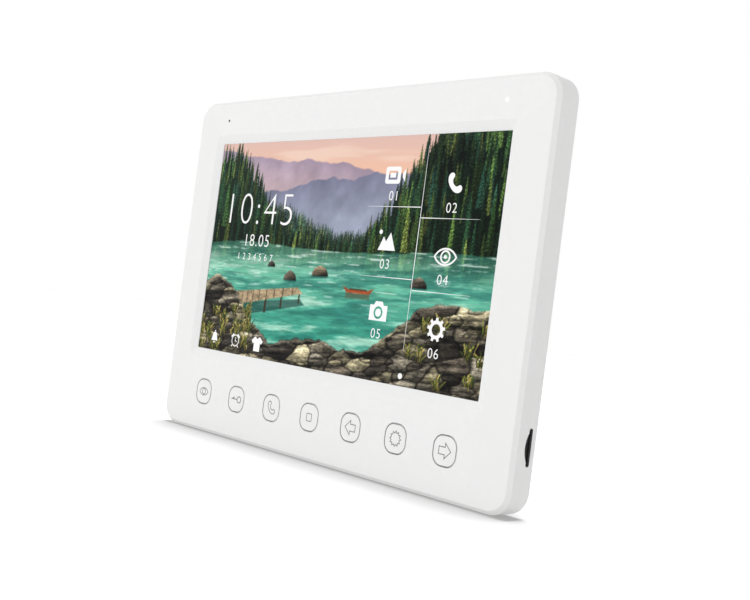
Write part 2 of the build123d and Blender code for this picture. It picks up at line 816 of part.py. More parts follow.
def power_inductor():
    """Shielded power inductor."""
    x = board_right - 2 * part_edge_gap - inductor_size / 2
    z = board_bottom + part_edge_gap + inductor_size / 2
    outline = Pos(x, z) * RectangleRounded(inductor_size, inductor_size, inductor_size / 5)
    body = slab(outline, main_board_back, inductor_height)
    return body + disc(x, z, inductor_size * 0.42, main_board_back + inductor_height, inductor_cap)


def battery_place():
    """Centre of the clock battery, near the board's upper right corner."""
    return board_right - part_edge_gap - battery_holder_width / 2, board_top - 4.5 - battery_holder_height / 2


def battery_holder():
    """Cup that grips the clock battery."""
    x, z = battery_place()
    outline = Pos(x, z) * RectangleRounded(battery_holder_width, battery_holder_height, 2)
    body = slab(outline, main_board_back, battery_floor + battery_thickness + battery_rim)
    return body - disc(x, z, battery_radius + stroke_gap, main_board_back + battery_floor,
                       battery_thickness + battery_rim)


def clock_battery():
    """Coin cell that keeps the clock running."""
    x, z = battery_place()
    return disc(x, z, battery_radius, main_board_back + battery_floor, battery_thickness)


def crystal():
    """Metal-cased clock crystal below the battery."""
    x, z = battery_place()
    z -= battery_holder_height / 2 + crystal_width
    can = slab(Pos(x, z) * RectangleRounded(crystal_length, crystal_width, crystal_width * 0.48),
               main_board_back, crystal_height)
    return fillet(can.faces().sort_by(Axis.Y)[-1].edges(), crystal_width / 10)


def header_width(ways):
    """Width of a connector housing."""
    return (ways - 1) * pin_pitch + 2 * header_end


def header_places():
    """X, Z and ways of the connectors in the well: four of four ways and one of two."""
    first = -well_width / 2 + header_side_gap + header_width(4) / 2
    second = first + header_width(4) + header_spacing
    third = second + (header_width(4) + header_width(2)) / 2 + header_spacing
    row = (header_depth + header_row_gap) / 2
    four_way = [(x, side * row, 4) for x in (first, second) for side in (-1, 1)]
    return four_way + [(third, row, 2)]


def header(x, z, ways):
    """Open-topped connector housing for crimped wires."""
    width = header_width(ways)
    centre = Pos(x, z)
    inner = Rectangle(width - 2 * header_wall, header_depth - 2 * header_wall)
    body = slab(centre * Rectangle(width, header_depth), main_board_back, header_height)
    body -= slab(centre * inner, main_board_back + header_base, header_height - header_base)
    notch = Pos(x, z - header_depth / 2 + header_wall / 2) * Rectangle(3, header_wall)
    return body - slab(notch, main_board_back + header_base + 1, header_height - header_base - 1)


def wire_connectors():
    """Four connectors for door panels and cameras, and one for the supply."""
    return group([header(x, z, ways) for x, z, ways in header_places()])


def connector_pins():
    """Square contact pins standing in the connectors."""
    pins = []
    for x, z, ways in header_places():
        for way in range(ways):
            centre = x + (way - (ways - 1) / 2) * pin_pitch
            pin = Pos(centre, z) * Rectangle(pin_size, pin_size)
            pins.append(slab(pin, main_board_back + header_base, pin_length))
    return group(pins)


# ---------------------------------------------------------------- speaker
def speaker_tab():
    """X and front depth of the tab that the speaker's lead is soldered to."""
    return speaker_x + speaker_radius - 2.0, speaker_rim_front - 0.8


def speaker_frame():
    """Steel basket with a flat rim and a terminal tab."""
    rim_back = speaker_rim_front + speaker_rim
    profile = [
        (speaker_radius, speaker_rim_front), (speaker_radius, rim_back), (speaker_radius - 2, rim_back),
        (speaker_radius - 2.4, speaker_rim_front + 0.4), (magnet_radius - 1, basket_front + 0.4),
        (0, basket_front + 0.4), (0, basket_front), (magnet_radius, basket_front),
        (speaker_radius - 2, speaker_rim_front)]
    basket = turned(profile, speaker_x, speaker_z)
    tab_x, tab_depth = speaker_tab()
    tab = Pos(tab_x, speaker_z) * Rectangle(4, 4)
    return basket + slab(tab, tab_depth, speaker_rim_front - tab_depth)


def speaker_magnet():
    """Ring magnet pressed against the basket, closed at its front."""
    return disc(speaker_x, speaker_z, magnet_radius, magnet_front, magnet_thickness)


def speaker_cone():
    """Paper cone with a rolled edge and a dust cap, facing the grille."""
    edge = speaker_rim_front + speaker_rim
    floor = basket_front + 1.2
    outer = speaker_radius - 2.6
    profile = [
        (outer, edge - 0.1), (outer - 1.2, edge + 0.1), (outer - 2.6, edge - 0.5), (4.4, floor), (0, floor),
        (0, floor + cone_sheet), (4.2, floor + cone_sheet), (outer - 2.6, edge - 0.5 + cone_sheet),
        (outer - 1.2, edge + 0.1 + cone_sheet), (outer, edge - 0.1 + cone_sheet)]
    return turned(profile, speaker_x, speaker_z)


def speaker_gasket():
    """Foam ring between the speaker's rim and the housing."""
    ring = Circle(speaker_radius) - Circle(speaker_radius - 2)
    return slab(Pos(speaker_x, speaker_z) * ring, back_wall - gasket_thickness, gasket_thickness)


def speaker_header_place():
    """Centre of the header that the speaker's lead plugs into."""
    return board_left + lead_header_size / 2, board_bottom + speaker_header_lift


def speaker_lead():
    """Lead from the speaker's tab to the main board's rear."""
    tab_x, tab_depth = speaker_tab()
    _, header_z = speaker_header_place()
    level = main_board_back + lead_header_height / 2
    points = [(tab_x, tab_depth, speaker_z), (tab_x, level, speaker_z), (tab_x, level, header_z),
              (board_left, level, header_z)]
    return lead(points, [2.0, 2.0])


def lead_headers():
    """Three small side-entry headers: microphone, light and speaker."""
    outline = Rectangle(lead_header_size, lead_header_depth)
    pieces = []
    for x in (board_left + lead_header_size / 2, board_right - lead_header_size / 2):
        place = Pos(x, board_top - lead_header_drop)
        pieces.append(slab(place * outline, main_board_front - lead_header_height, lead_header_height))
    place = Pos(*speaker_header_place())
    pieces.append(slab(place * outline, main_board_back, lead_header_height))
    return group(pieces)


# ---------------------------------------------------------------- microphone and status light
def microphone():
    """Round microphone capsule."""
    return disc(-sound_x, sound_z, mic_radius, wall + stroke_gap, mic_thickness)


def microphone_boot():
    """Rubber cup that holds the capsule and shuts out the speaker."""
    back = wall + stroke_gap + mic_thickness
    cup = disc(-sound_x, sound_z, boot_radius, wall, back + boot_back - wall)
    cup -= disc(-sound_x, sound_z, mic_radius + 0.02, wall, back - wall)
    return cup - disc(-sound_x, sound_z, lead_radius + boot_gap, back, boot_back)


def front_leads():
    """Leads of microphone and light, across the display's back to the main board's front."""
    level = main_board_front - lead_header_height / 2
    bend = 2 * lead_radius
    header_z = board_top - lead_header_drop
    mic_start = wall + stroke_gap + mic_thickness
    route = [(-sound_x, mic_start, sound_z), (-sound_x, level, sound_z), (-sound_x, level, board_top),
             (board_left - lead_header_drop, level, header_z), (board_left, level, header_z)]
    mic = lead(route, [bend, 5 * lead_radius, 5 * lead_radius])
    led_start = pipe_length + led_gap + led_thickness + led_board_thickness
    light = lead([(sound_x, led_start, sound_z), (sound_x, level, sound_z),
                  (sound_x, level, header_z + lead_header_depth / 2)], [bend])
    return group([mic, light])


def light_pipe():
    """Clear pipe that carries the status light to the front."""
    pipe = disc(sound_x, sound_z, pipe_radius, 0, pipe_length)
    return pipe + disc(sound_x, sound_z, pipe_radius + pipe_collar, wall, pipe_collar_thickness)


def status_led():
    """Light-emitting diode behind the pipe."""
    return slab(Pos(sound_x, sound_z) * Rectangle(led_size, led_size), pipe_length + led_gap, led_thickness)


def led_board():
    """Small board on two pegs."""
    depth = pipe_length + led_gap + led_thickness
    outline = Pos(sound_x, sound_z) * Rectangle(led_board_width, led_board_height)
    board = slab(outline, depth, led_board_thickness)
    for x, z in peg_points():
        board -= disc(x, z, peg_radius + peg_clearance, depth, led_board_thickness)
    return board


# ---------------------------------------------------------------- screws
def shell_screws():
    """Countersunk screws, heads flush with the flange."""
    depth = rim_depth - screw_head_height
    sizes = (screw_head_radius, screw_head_height, screw_radius, shell_screw_length)
    return group([screw(x, z, depth, *sizes, 1, sunk=True) for x, z in shell_screw_points()])


def pan_screws(points, depth, length, side, head=small_head_radius):
    """Pan-head screws at the given places."""
    return [screw(x, z, depth, head, small_head_height, small_screw_radius, length, side) for x, z in points]


def front_screws():
    """Eight equal screws in the front shell: four for the display's clips and four for the key board."""
    clips = pan_screws(clip_points(), lcd_back + clip_thickness, small_screw_length, 1)
    return group(clips + pan_screws(key_board_screw_points(), key_board_back, small_screw_length, 1))


def main_board_screws():
    """Screws that hold the main board to its posts."""
    return group(pan_screws(main_board_screw_points(), main_board_front, board_screw_length, -1))


def speaker_screws():
    """Wide-head screws that hold the speaker by its rim."""
    points = speaker_screw_points()
    return group(pan_screws(points, speaker_rim_front, speaker_screw_length, -1, speaker_screw_head))


# ---------------------------------------------------------------- all nodes
def build_nodes():
    """Every piece of the monitor by its node's name."""
    nodes = {
        "wall_bracket": wall_bracket(),
        "front_shell": front_shell(),
        "rear_shell": rear_shell(),
        "lcd_bezel": lcd_bezel(),
        "lcd_cell": lcd_cell(),
        "lcd_mid_frame": lcd_mid_frame(),
        "diffuser_films": diffuser_films(),
        "light_guide": light_guide(),
        "backlight_strip": backlight_strip(),
        "lcd_tray": lcd_tray(),
        "lcd_flex": lcd_flex(),
        "lcd_clips": lcd_clips(),
        "switch_bodies": switch_bodies(),
        "key_board": key_board(),
        "front_screws": front_screws(),
        "card_socket": card_socket(),
        "memory_card": memory_card(),
        "key_ribbon": key_ribbon(),
        "ribbon_connectors": ribbon_connectors(),
        "main_board": main_board(),
        "main_board_screws": main_board_screws(),
        "lcd_connector": lcd_connector(),
        "processor": processor(),
        "memory_chips": memory_chips(),
        "capacitors": capacitors(),
        "power_inductor": power_inductor(),
        "crystal": crystal(),
        "battery_holder": battery_holder(),
        "clock_battery": clock_battery(),
        "wire_connectors": wire_connectors(),
        "connector_pins": connector_pins(),
        "speaker_frame": speaker_frame(),
        "speaker_magnet": speaker_magnet(),
        "speaker_cone": speaker_cone(),
        "speaker_gasket": speaker_gasket(),
        "speaker_screws": speaker_screws(),
        "lead_headers": lead_headers(),
        "speaker_lead": speaker_lead(),
        "microphone": microphone(),
        "microphone_boot": microphone_boot(),
        "front_leads": front_leads(),
        "light_pipe": light_pipe(),
        "status_led": status_led(),
        "led_board": led_board(),
        "shell_screws": shell_screws(),
    }
    for name, x in zip(key_names, key_xs):
        nodes[name + "_key"] = key_cap(x)
        nodes[name + "_plunger"] = switch_plunger(x)
    return nodes


os.makedirs("parts", exist_ok=True)
for node_name, node_shape in build_nodes().items():
    export_step(node_shape, "parts/" + node_name + ".step")
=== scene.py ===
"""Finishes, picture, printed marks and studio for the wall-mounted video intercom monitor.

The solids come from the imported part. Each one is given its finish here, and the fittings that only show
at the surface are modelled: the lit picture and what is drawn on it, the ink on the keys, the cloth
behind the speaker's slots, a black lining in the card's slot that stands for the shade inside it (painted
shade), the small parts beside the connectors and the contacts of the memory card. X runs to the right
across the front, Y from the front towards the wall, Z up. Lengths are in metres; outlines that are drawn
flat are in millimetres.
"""

import logging
import math
from collections.abc import Callable, Iterator
from contextlib import contextmanager
from dataclasses import dataclass, field
from enum import Enum, IntEnum
from functools import cache
from typing import ClassVar

import bpy
import numpy as np
from mathutils import Matrix, Vector


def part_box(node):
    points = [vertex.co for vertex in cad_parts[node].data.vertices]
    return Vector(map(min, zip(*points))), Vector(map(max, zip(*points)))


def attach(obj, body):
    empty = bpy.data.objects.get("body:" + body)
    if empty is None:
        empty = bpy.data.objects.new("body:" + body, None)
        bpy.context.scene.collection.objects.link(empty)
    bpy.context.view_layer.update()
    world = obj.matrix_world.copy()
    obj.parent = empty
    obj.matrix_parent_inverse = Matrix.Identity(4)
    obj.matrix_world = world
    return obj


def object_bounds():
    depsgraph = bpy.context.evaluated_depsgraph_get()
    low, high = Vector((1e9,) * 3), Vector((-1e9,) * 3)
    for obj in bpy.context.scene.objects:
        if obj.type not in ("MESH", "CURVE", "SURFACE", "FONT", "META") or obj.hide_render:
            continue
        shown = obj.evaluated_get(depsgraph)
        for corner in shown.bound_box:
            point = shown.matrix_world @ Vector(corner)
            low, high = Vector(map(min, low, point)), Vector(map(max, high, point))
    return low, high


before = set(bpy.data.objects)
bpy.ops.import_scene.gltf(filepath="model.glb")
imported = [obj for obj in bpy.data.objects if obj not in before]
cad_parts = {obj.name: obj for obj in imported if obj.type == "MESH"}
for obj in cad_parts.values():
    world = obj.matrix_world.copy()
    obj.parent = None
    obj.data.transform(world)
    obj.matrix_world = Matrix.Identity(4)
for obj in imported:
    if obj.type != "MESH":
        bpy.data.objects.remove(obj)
CAD_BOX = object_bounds()

MM = 0.001
UPRIGHT = math.pi / 2
BLACK, WHITE = (0.0, 0.0, 0.0, 1.0), (1.0, 1.0, 1.0, 1.0)
DUST_TONE = "b9b4aa"
LOG = logging.getLogger("monitor")

Point = tuple[float, float]
Loop = list[Point]
Figure = list[Loop]
Piece = bpy.types.Object
Socket = bpy.types.NodeSocket
Inputs = dict[str, object]


# ------------------------------------------------------------------------------------------- colours
def rgb(digits: str) -> np.ndarray:
    """Return the red, green and blue, from 0 to 1, of a colour written as six hex digits."""
    return np.array([int(digits[i:i + 2], 16) / 255 for i in (0, 2, 4)])


def light(colour: np.ndarray) -> np.ndarray:
    """Turn colours as they are written into linear light."""
    return np.where(colour <= 0.04045, colour / 12.92, ((colour + 0.055) / 1.055) ** 2.4)


def linear(digits: str, share: float = 1.0) -> tuple[float, ...]:
    """Return a hex colour, darkened or lightened by a share, as a colour socket takes it."""
    return *np.minimum(1.0, light(rgb(digits)) * share), 1.0


def smooth(t: np.ndarray) -> np.ndarray:
    """Bend a rise from 0 to 1 so that it starts and ends level."""
    return t * t * (3 - 2 * t)


def ease(low: float, high: float, value: np.ndarray) -> np.ndarray:
    """Return a smooth step from 0 to 1 between two limits."""
    return smooth(np.clip((value - low) / (high - low), 0, 1))


def mix(low: np.ndarray, high: np.ndarray, share: np.ndarray) -> np.ndarray:
    """Return what lies at a share from 0 to 1 of the way between two values."""
    return low * (1 - share) + high * share


# ------------------------------------------------------------------------------------------ node trees
class Wiring:
    """Adds nodes to one tree and joins them as they are added."""

    def __init__(self, tree: bpy.types.NodeTree) -> None:
        """Keep the tree that nodes are added to."""
        self.tree = tree

    @classmethod
    def of(cls, owner: bpy.types.Material | bpy.types.World) -> "Wiring":
        """Empty the tree of a material or world.

        Args:
            owner: The material or world.

        Returns:
            A wiring for its tree.
        """
        owner.use_nodes = True
        owner.node_tree.nodes.clear()
        return cls(owner.node_tree)

    def add(self, kind: str, values: dict | None = None, **settings: object) -> bpy.types.Node:
        """Add one node.

        Args:
            kind: Blender's name of the node type, without the ShaderNode before it.
            values: Input sockets by name or number, each with a value or a socket to link from.
            **settings: Properties of the node itself.

        Returns:
            The new node.
        """
        node = self.tree.nodes.new("ShaderNode" + kind)
        row, column = divmod(len(self.tree.nodes), 9)
        node.location = (220 * column, -260 * row)
        for name, setting in settings.items():
            setattr(node, name, setting)
        for name, value in (values or {}).items():
            if isinstance(value, Socket):
                self.tree.links.new(value, node.inputs[name])
            else:
                node.inputs[name].default_value = value
        return node

    def math(self, operation: str, *values: object, clamp: bool = False) -> Socket:
        """Combine up to three numbers and return the result's socket."""
        return self.add("Math", dict(enumerate(values)), operation=operation, use_clamp=clamp).outputs[0]

    def times(self, first: object, second: object) -> Socket:
        """Multiply two numbers and return the result's socket."""
        return self.math("MULTIPLY", first, second)

    def plus(self, first: object, second: object, clamp: bool = False) -> Socket:
        """Add two numbers and return the result's socket."""
        return self.math("ADD", first, second, clamp=clamp)

    def minus(self, first: object, second: object, clamp: bool = False) -> Socket:
        """Subtract the second number from the first and return the result's socket."""
        return self.math("SUBTRACT", first, second, clamp=clamp)

    def waves(self, value: Socket, pitch: float) -> Socket:
        """Turn a length into waves from -1 to 1 of a given pitch and return their socket."""
        return self.math("SINE", self.times(value, 2 * math.pi / pitch))

    def blend(self, share: object, low: object, high: object, way: str = "MIX") -> Socket:
        """Blend two colours by a share from 0 to 1 and return the result's socket."""
        return self.add("Mix", {0: share, 6: low, 7: high}, data_type="RGBA", blend_type=way).outputs[2]

    def grey(self, value: Socket) -> Socket:
        """Turn a number into a grey and return its socket."""
        return self.add("CombineColor", {0: value, 1: value, 2: value}).outputs[0]

    def between(self, value: object, low: float, high: float, out_low: float = 0.0,
                out_high: float = 1.0) -> Socket:
        """Map a number from one range to another, held at both ends, and return its socket."""
        return self.add("MapRange", {0: value, 1: low, 2: high, 3: out_low, 4: out_high}).outputs[0]

    def place(self) -> Socket:
        """Return the piece's own coordinates."""
        return self.add("TexCoord").outputs["Object"]

    def noise(self, vector: Socket, scale: object, detail: float = 3.0, roughness: float = 0.5) -> Socket:
        """Add a noise on a vector and return its factor."""
        values = {"Vector": vector, "Scale": scale, "Detail": detail, "Roughness": roughness}
        return self.add("TexNoise", values).outputs["Fac"]

    def streaks(self, scale: tuple[float, float, float], detail: float, roughness: float = 0.5) -> Socket:
        """Add a noise with a scale of its own along each axis and return its factor."""
        vector = self.add("Mapping", {"Vector": self.place(), "Scale": scale}).outputs[0]
        return self.noise(vector, 1.0, detail, roughness)

    def bump(self, height: Socket, distance: float, strength: float) -> Socket:
        """Return the normal of a surface whose height goes up to a distance in metres."""
        return self.add("Bump", {"Strength": strength, "Distance": distance, "Height": height}).outputs[0]

    def effect(self, name: str, **values: float) -> bpy.types.NodeOutputs:
        """Place a shared effect with values of its own and return its outputs."""
        return self.add("Group", values, node_tree=EFFECTS[name]).outputs


# -------------------------------------------------------------------------------------- shared effects
@dataclass(frozen=True)
class Effect:
    """A surface effect that several finishes share, as a node group.

    Attributes:
        name: Name of the group.
        inputs: Its inputs, all numbers, with their usual values.
        outputs: Names of its outputs, all numbers.
        lay_out: Takes a wiring and the inputs' sockets, and returns those of the outputs.
    """

    name: str
    inputs: dict[str, float]
    outputs: tuple[str, ...]
    lay_out: Callable[..., tuple[Socket, ...]]

    def make(self) -> bpy.types.NodeTree:
        """Build the group.

        Returns:
            The group, ready to be placed in a material.
        """
        group = bpy.data.node_groups.new(self.name, "ShaderNodeTree")
        for way, names in (("INPUT", self.inputs), ("OUTPUT", self.outputs)):
            for name in names:
                socket = group.interface.new_socket(name=name, in_out=way, socket_type="NodeSocketFloat")
                if way == "INPUT":
                    socket.default_value = self.inputs[name]
        start, end = group.nodes.new("NodeGroupInput"), group.nodes.new("NodeGroupOutput")
        results = self.lay_out(Wiring(group), *(start.outputs[name] for name in self.inputs))
        for name, result in zip(self.outputs, results):
            group.links.new(result, end.inputs[name])
        return group


def grain(net: Wiring, cells: Socket, clouding: Socket) -> tuple[Socket, ...]:
    """Lay out the spark-eroded grain of a moulded surface.

    Args:
        net: Wiring of the group.
        cells: Grain cells per metre.
        clouding: How much the tone drifts over the surface.

    Returns:
        Height and tone of the grain.
    """
    place = net.place()
    pits = net.add("TexVoronoi", {"Vector": place, "Scale": cells, "Smoothness": 0.8}, feature="SMOOTH_F1")
    fine = net.noise(place, net.times(cells, 1.7), 4.0)
    height = net.plus(net.times(pits.outputs["Distance"], 0.6), net.times(fine, 0.5))
    drift = net.times(net.minus(net.noise(place, 38.0), 0.5), clouding)
    return height, net.plus(drift, 0.5)


def wear(net: Wiring, start: Socket, width: Socket, gaps: Socket) -> tuple[Socket, ...]:
    """Lay out the rubbing that shows first along outer edges.

    Args:
        net: Wiring of the group.
        start: Sharpness at which the worn band starts.
        width: Width of the band.
        gaps: How much of the band is left out in patches.

    Returns:
        Mask of the worn places.
    """
    edge = net.add("NewGeometry").outputs["Pointiness"]
    edge = net.math("DIVIDE", net.minus(edge, start), width, clamp=True)
    patches = net.between(net.noise(net.place(), 420.0, 5.0, 0.65), 0.38, 0.66)
    return net.times(edge, net.minus(1.0, net.times(patches, gaps))),


def dust(net: Wiring, amount: Socket) -> tuple[Socket, ...]:
    """Lay out the fine dust that settles on faces that look up.

    Args:
        net: Wiring of the group.
        amount: Amount of dust.

    Returns:
        Mask of the dust.
    """
    normal = net.add("NewGeometry").outputs["Normal"]
    upward = net.between(net.add("SeparateXYZ", {0: normal}).outputs["Z"], 0.35, 1.0)
    patches = net.between(net.noise(net.place(), 160.0, 6.0, 0.62), 0.35, 0.7)
    return net.times(net.times(upward, patches), amount),


def handling(net: Wiring, amount: Socket) -> tuple[Socket, ...]:
    """Lay out the faint change of gloss that hands leave.

    Args:
        net: Wiring of the group.
        amount: How strong it is.

    Returns:
        A number to add to a roughness.
    """
    wide, fine = net.streaks((60.0, 60.0, 45.0), 5.0, 0.6), net.streaks((900.0, 900.0, 240.0), 2.0)
    return net.times(net.minus(net.plus(net.times(wide, 0.75), net.times(fine, 0.25)), 0.5), amount),


def rolling(net: Wiring, strength: Socket) -> tuple[Socket, ...]:
    """Lay out the rolling lines and clouds of sheet metal.

    Args:
        net: Wiring of the group.
        strength: Strength of the lines.

    Returns:
        Height and tone of the surface.
    """
    lines = net.streaks((35.0, 2600.0, 2600.0), 4.0, 0.6)
    clouds = net.streaks((150.0, 150.0, 150.0), 4.0, 0.6)
    return net.times(lines, strength), net.plus(net.times(lines, 0.4), net.times(clouds, 0.6))


EFFECTS = {effect.name: effect.make() for effect in (
    Effect("moulded_grain", {"Cells": 2200.0, "Clouding": 0.5}, ("Height", "Tone"), grain),
    Effect("edge_wear", {"Start": 0.52, "Width": 0.1, "Break": 0.6}, ("Mask",), wear),
    Effect("settled_dust", {"Amount": 0.2}, ("Mask",), dust),
    Effect("handling", {"Amount": 0.05}, ("Roughness",), handling),
    Effect("rolled_lines", {"Strength": 1.0}, ("Height", "Tone"), rolling))}


# -------------------------------------------------------------------------------------------- finishes
@dataclass(frozen=True)
class Finish:
    """A surface finish.

    Attributes:
        name: Name of its material.
    """

    name: str

    def surface(self, net: Wiring) -> Inputs:
        """Lay out the finish's nodes and return the inputs of its shader."""
        raise NotImplementedError

    def make(self) -> bpy.types.Material:
        """Build the material.

        Returns:
            The material.
        """
        material = bpy.data.materials.new(self.name)
        net = Wiring.of(material)
        shader = net.add("BsdfPrincipled", self.surface(net))
        net.add("OutputMaterial", {0: shader.outputs[0]})
        return material


@dataclass(frozen=True)
class MouldedFinish(Finish):
    """Injection-moulded plastic or rubber with a fine eroded grain.

    Attributes:
        tone: Colour as hex digits.
        roughness: Mean roughness.
        cells: Grain cells per metre.
        depth: Height of the grain in metres.
        clouding: How much the tone drifts over the surface.
        worn: Colour of rubbed edges.
        wear: Share of that colour on an edge.
        dust: Amount of dust on upward faces.
        specular: Specular level.
        glow: How far light reaches under the surface, in metres.
    """

    tone: str
    roughness: float = 0.5
    cells: float = 2200.0
    depth: float = 0.000012
    clouding: float = 0.3
    worn: str = "ffffff"
    wear: float = 0.25
    dust: float = 0.12
    specular: float = 0.4
    glow: float = 0.0

    def surface(self, net: Wiring) -> Inputs:
        """Lay out grain, worn edges, dust and the traces of hands.

        Args:
            net: Wiring of the material.

        Returns:
            The shader's inputs.
        """
        grained = net.effect("moulded_grain", Cells=self.cells, Clouding=self.clouding)
        rubbed = net.effect("edge_wear", Start=0.52, Width=0.08, Break=0.7)["Mask"]
        dusty = net.effect("settled_dust", Amount=self.dust)["Mask"]
        touched = net.effect("handling", Amount=0.14)["Roughness"]
        colour = net.blend(grained["Tone"], linear(self.tone, 0.93), linear(self.tone, 1.05))
        colour = net.blend(net.times(rubbed, self.wear), colour, linear(self.worn))
        colour = net.blend(dusty, colour, linear(DUST_TONE))
        rough = net.plus(net.plus(touched, self.roughness), net.times(dusty, 0.3), clamp=True)
        inputs = {"Base Color": colour, "Roughness": rough, "Specular IOR Level": self.specular,
                  "Normal": net.bump(grained["Height"], self.depth, 0.6)}
        if self.glow:
            inputs |= {"Subsurface Weight": 0.12, "Subsurface Radius": (1.0, 0.9, 0.8),
                       "Subsurface Scale": self.glow}
        return inputs


@dataclass(frozen=True)
class MetalFinish(Finish):
    """Plated or bare sheet metal with rolling lines, clouding and rubbed edges.

    Attributes:
        tone: Colour as hex digits.
        shade: Colour of the duller patches.
        roughness: Mean roughness.
        lines: Strength of the rolling lines.
        depth: Height of the lines in metres.
    """

    tone: str
    shade: str
    roughness: float = 0.32
    lines: float = 1.0
    depth: float = 0.000008

    def surface(self, net: Wiring) -> Inputs:
        """Lay out rolling lines, bright edges and the traces of hands.

        Args:
            net: Wiring of the material.

        Returns:
            The shader's inputs.
        """
        rolled = net.effect("rolled_lines", Strength=self.lines)
        rubbed = net.effect("edge_wear", Start=0.51, Width=0.06, Break=0.5)["Mask"]
        touched = net.effect("handling", Amount=0.2)["Roughness"]
        colour = net.blend(net.between(rolled["Tone"], 0.36, 0.64), linear(self.shade), linear(self.tone))
        colour = net.blend(net.times(rubbed, 0.5), colour, linear("e9eaec"))
        rough = net.minus(net.plus(touched, self.roughness), net.times(rubbed, 0.1), clamp=True)
        return {"Base Color": colour, "Roughness": rough, "Metallic": 1.0,
                "Normal": net.bump(rolled["Height"], self.depth, 0.5)}


@dataclass(frozen=True)
class BoardFinish(Finish):
    """Circuit board: solder resist over copper tracks, with plated holes whose openings are painted
    near-black as painted shade.

    Attributes:
        resist: Colour over bare laminate.
        track: Colour over copper.
        pad: Colour of the plated rings.
        pitch: Track raster in cells per metre.
    """

    resist: str
    track: str
    pad: str
    pitch: float = 260.0

    def surface(self, net: Wiring) -> Inputs:
        """Lay out tracks, plated rings, holes painted near-black as painted shade, and dust.

        Args:
            net: Wiring of the material.

        Returns:
            The shader's inputs.
        """
        flat = net.add("VectorMath", {0: net.place(), 1: (1.0, 0.0, 1.0)}, operation="MULTIPLY").outputs[0]
        runs = net.add("TexVoronoi", {"Vector": flat, "Scale": self.pitch, "Randomness": 0.85},
                       feature="DISTANCE_TO_EDGE").outputs["Distance"]
        dots = net.add("TexVoronoi", {"Vector": flat, "Scale": self.pitch * 0.8}).outputs["Distance"]
        copper = net.between(runs, 0.05, 0.075, 1.0, 0.0)
        plated = net.between(dots, 0.1, 0.13, 1.0, 0.0)
        # Painted shade: the middle of each plated ring is painted near-black, for the shade inside an open
        # hole.
        hole = net.between(dots, 0.05, 0.06, 1.0, 0.0)
        dusty = net.effect("settled_dust", Amount=0.2)["Mask"]
        colour = linear(self.resist)
        for share, tone in ((copper, self.track), (plated, self.pad), (hole, "101410"), (dusty, DUST_TONE)):
            colour = net.blend(share, colour, linear(tone))
        height = net.minus(net.plus(copper, plated), net.times(hole, 2.0))
        touched = net.effect("handling", Amount=0.15)["Roughness"]
        return {"Base Color": colour, "Roughness": net.plus(touched, 0.32),
                "Metallic": net.times(plated, 0.8), "Normal": net.bump(height, 0.00004, 0.7)}


@dataclass(frozen=True)
class StripedFinish(Finish):
    """Flat cable or flexible circuit with conductors under its film.

    Attributes:
        film: Colour of the film.
        conductor: Colour over a conductor.
        pitch: Distance between conductors in metres.
        gloss: Roughness of the film.
    """

    film: str
    conductor: str
    pitch: float
    gloss: float

    def surface(self, net: Wiring) -> Inputs:
        """Lay out conductors and the film's clouds.

        Args:
            net: Wiring of the material.

        Returns:
            The shader's inputs.
        """
        place = net.place()
        across = net.add("SeparateXYZ", {0: place}).outputs["X"]
        stripe = net.between(net.waves(across, self.pitch), -0.15, 0.15)
        clouds = net.between(net.noise(place, 240.0, 4.0), 0.3, 0.7, 0.0, 0.12)
        colour = net.blend(stripe, linear(self.film), linear(self.conductor))
        touched = net.effect("handling", Amount=0.2)["Roughness"]
        return {"Base Color": net.blend(clouds, colour, linear("6a5f52")), "Coat Weight": 0.3,
                "Roughness": net.plus(touched, self.gloss), "Normal": net.bump(stripe, 0.00002, 0.5)}


@dataclass(frozen=True)
class ClearFinish(Finish):
    """Clear moulded plastic or glass, lit from behind where it carries light.

    Attributes:
        tone: Tint of the plastic.
        light: Strength of the light that it carries.
    """

    tone: str
    light: float = 0.0

    def surface(self, net: Wiring) -> Inputs:
        """Lay out the swirls of the melt and the traces of hands.

        Args:
            net: Wiring of the material.

        Returns:
            The shader's inputs.
        """
        swirl = net.between(net.noise(net.place(), 700.0), 0.35, 0.65)
        colour = net.blend(swirl, linear(self.tone, 0.94), linear(self.tone))
        touched = net.effect("handling", Amount=0.1)["Roughness"]
        inputs = {"IOR": 1.49, "Roughness": net.plus(touched, 0.12)}
        if self.light:
            return inputs | {"Base Color": (0.02, 0.02, 0.02, 1.0), "Emission Color": colour,
                             "Emission Strength": self.light}
        return inputs | {"Base Color": colour, "Transmission Weight": 0.85}


@dataclass(frozen=True)
class InkFinish(Finish):
    """Screen-printed ink, slightly uneven, or a lit mark on the picture.

    Attributes:
        tone: Colour as hex digits.
        lit: True where the mark is part of the lit picture.
    """

    tone: str
    lit: bool = False

    def surface(self, net: Wiring) -> Inputs:
        """Lay out the ink's unevenness.

        Args:
            net: Wiring of the material.

        Returns:
            The shader's inputs.
        """
        uneven = net.between(net.noise(net.place(), 3200.0, 4.0, 0.6), 0.3, 0.75, 0.0, 0.12)
        colour = net.blend(uneven, linear(self.tone), linear("ffffff" if self.lit else "c4c4c4"))
        inputs = {"Roughness": 0.45, "Specular IOR Level": 0.15}
        if self.lit:
            return inputs | {"Base Color": BLACK, "Emission Color": colour, "Emission Strength": 1.0}
        return inputs | {"Base Color": colour, "Normal": net.bump(uneven, 0.00001, 0.4)}


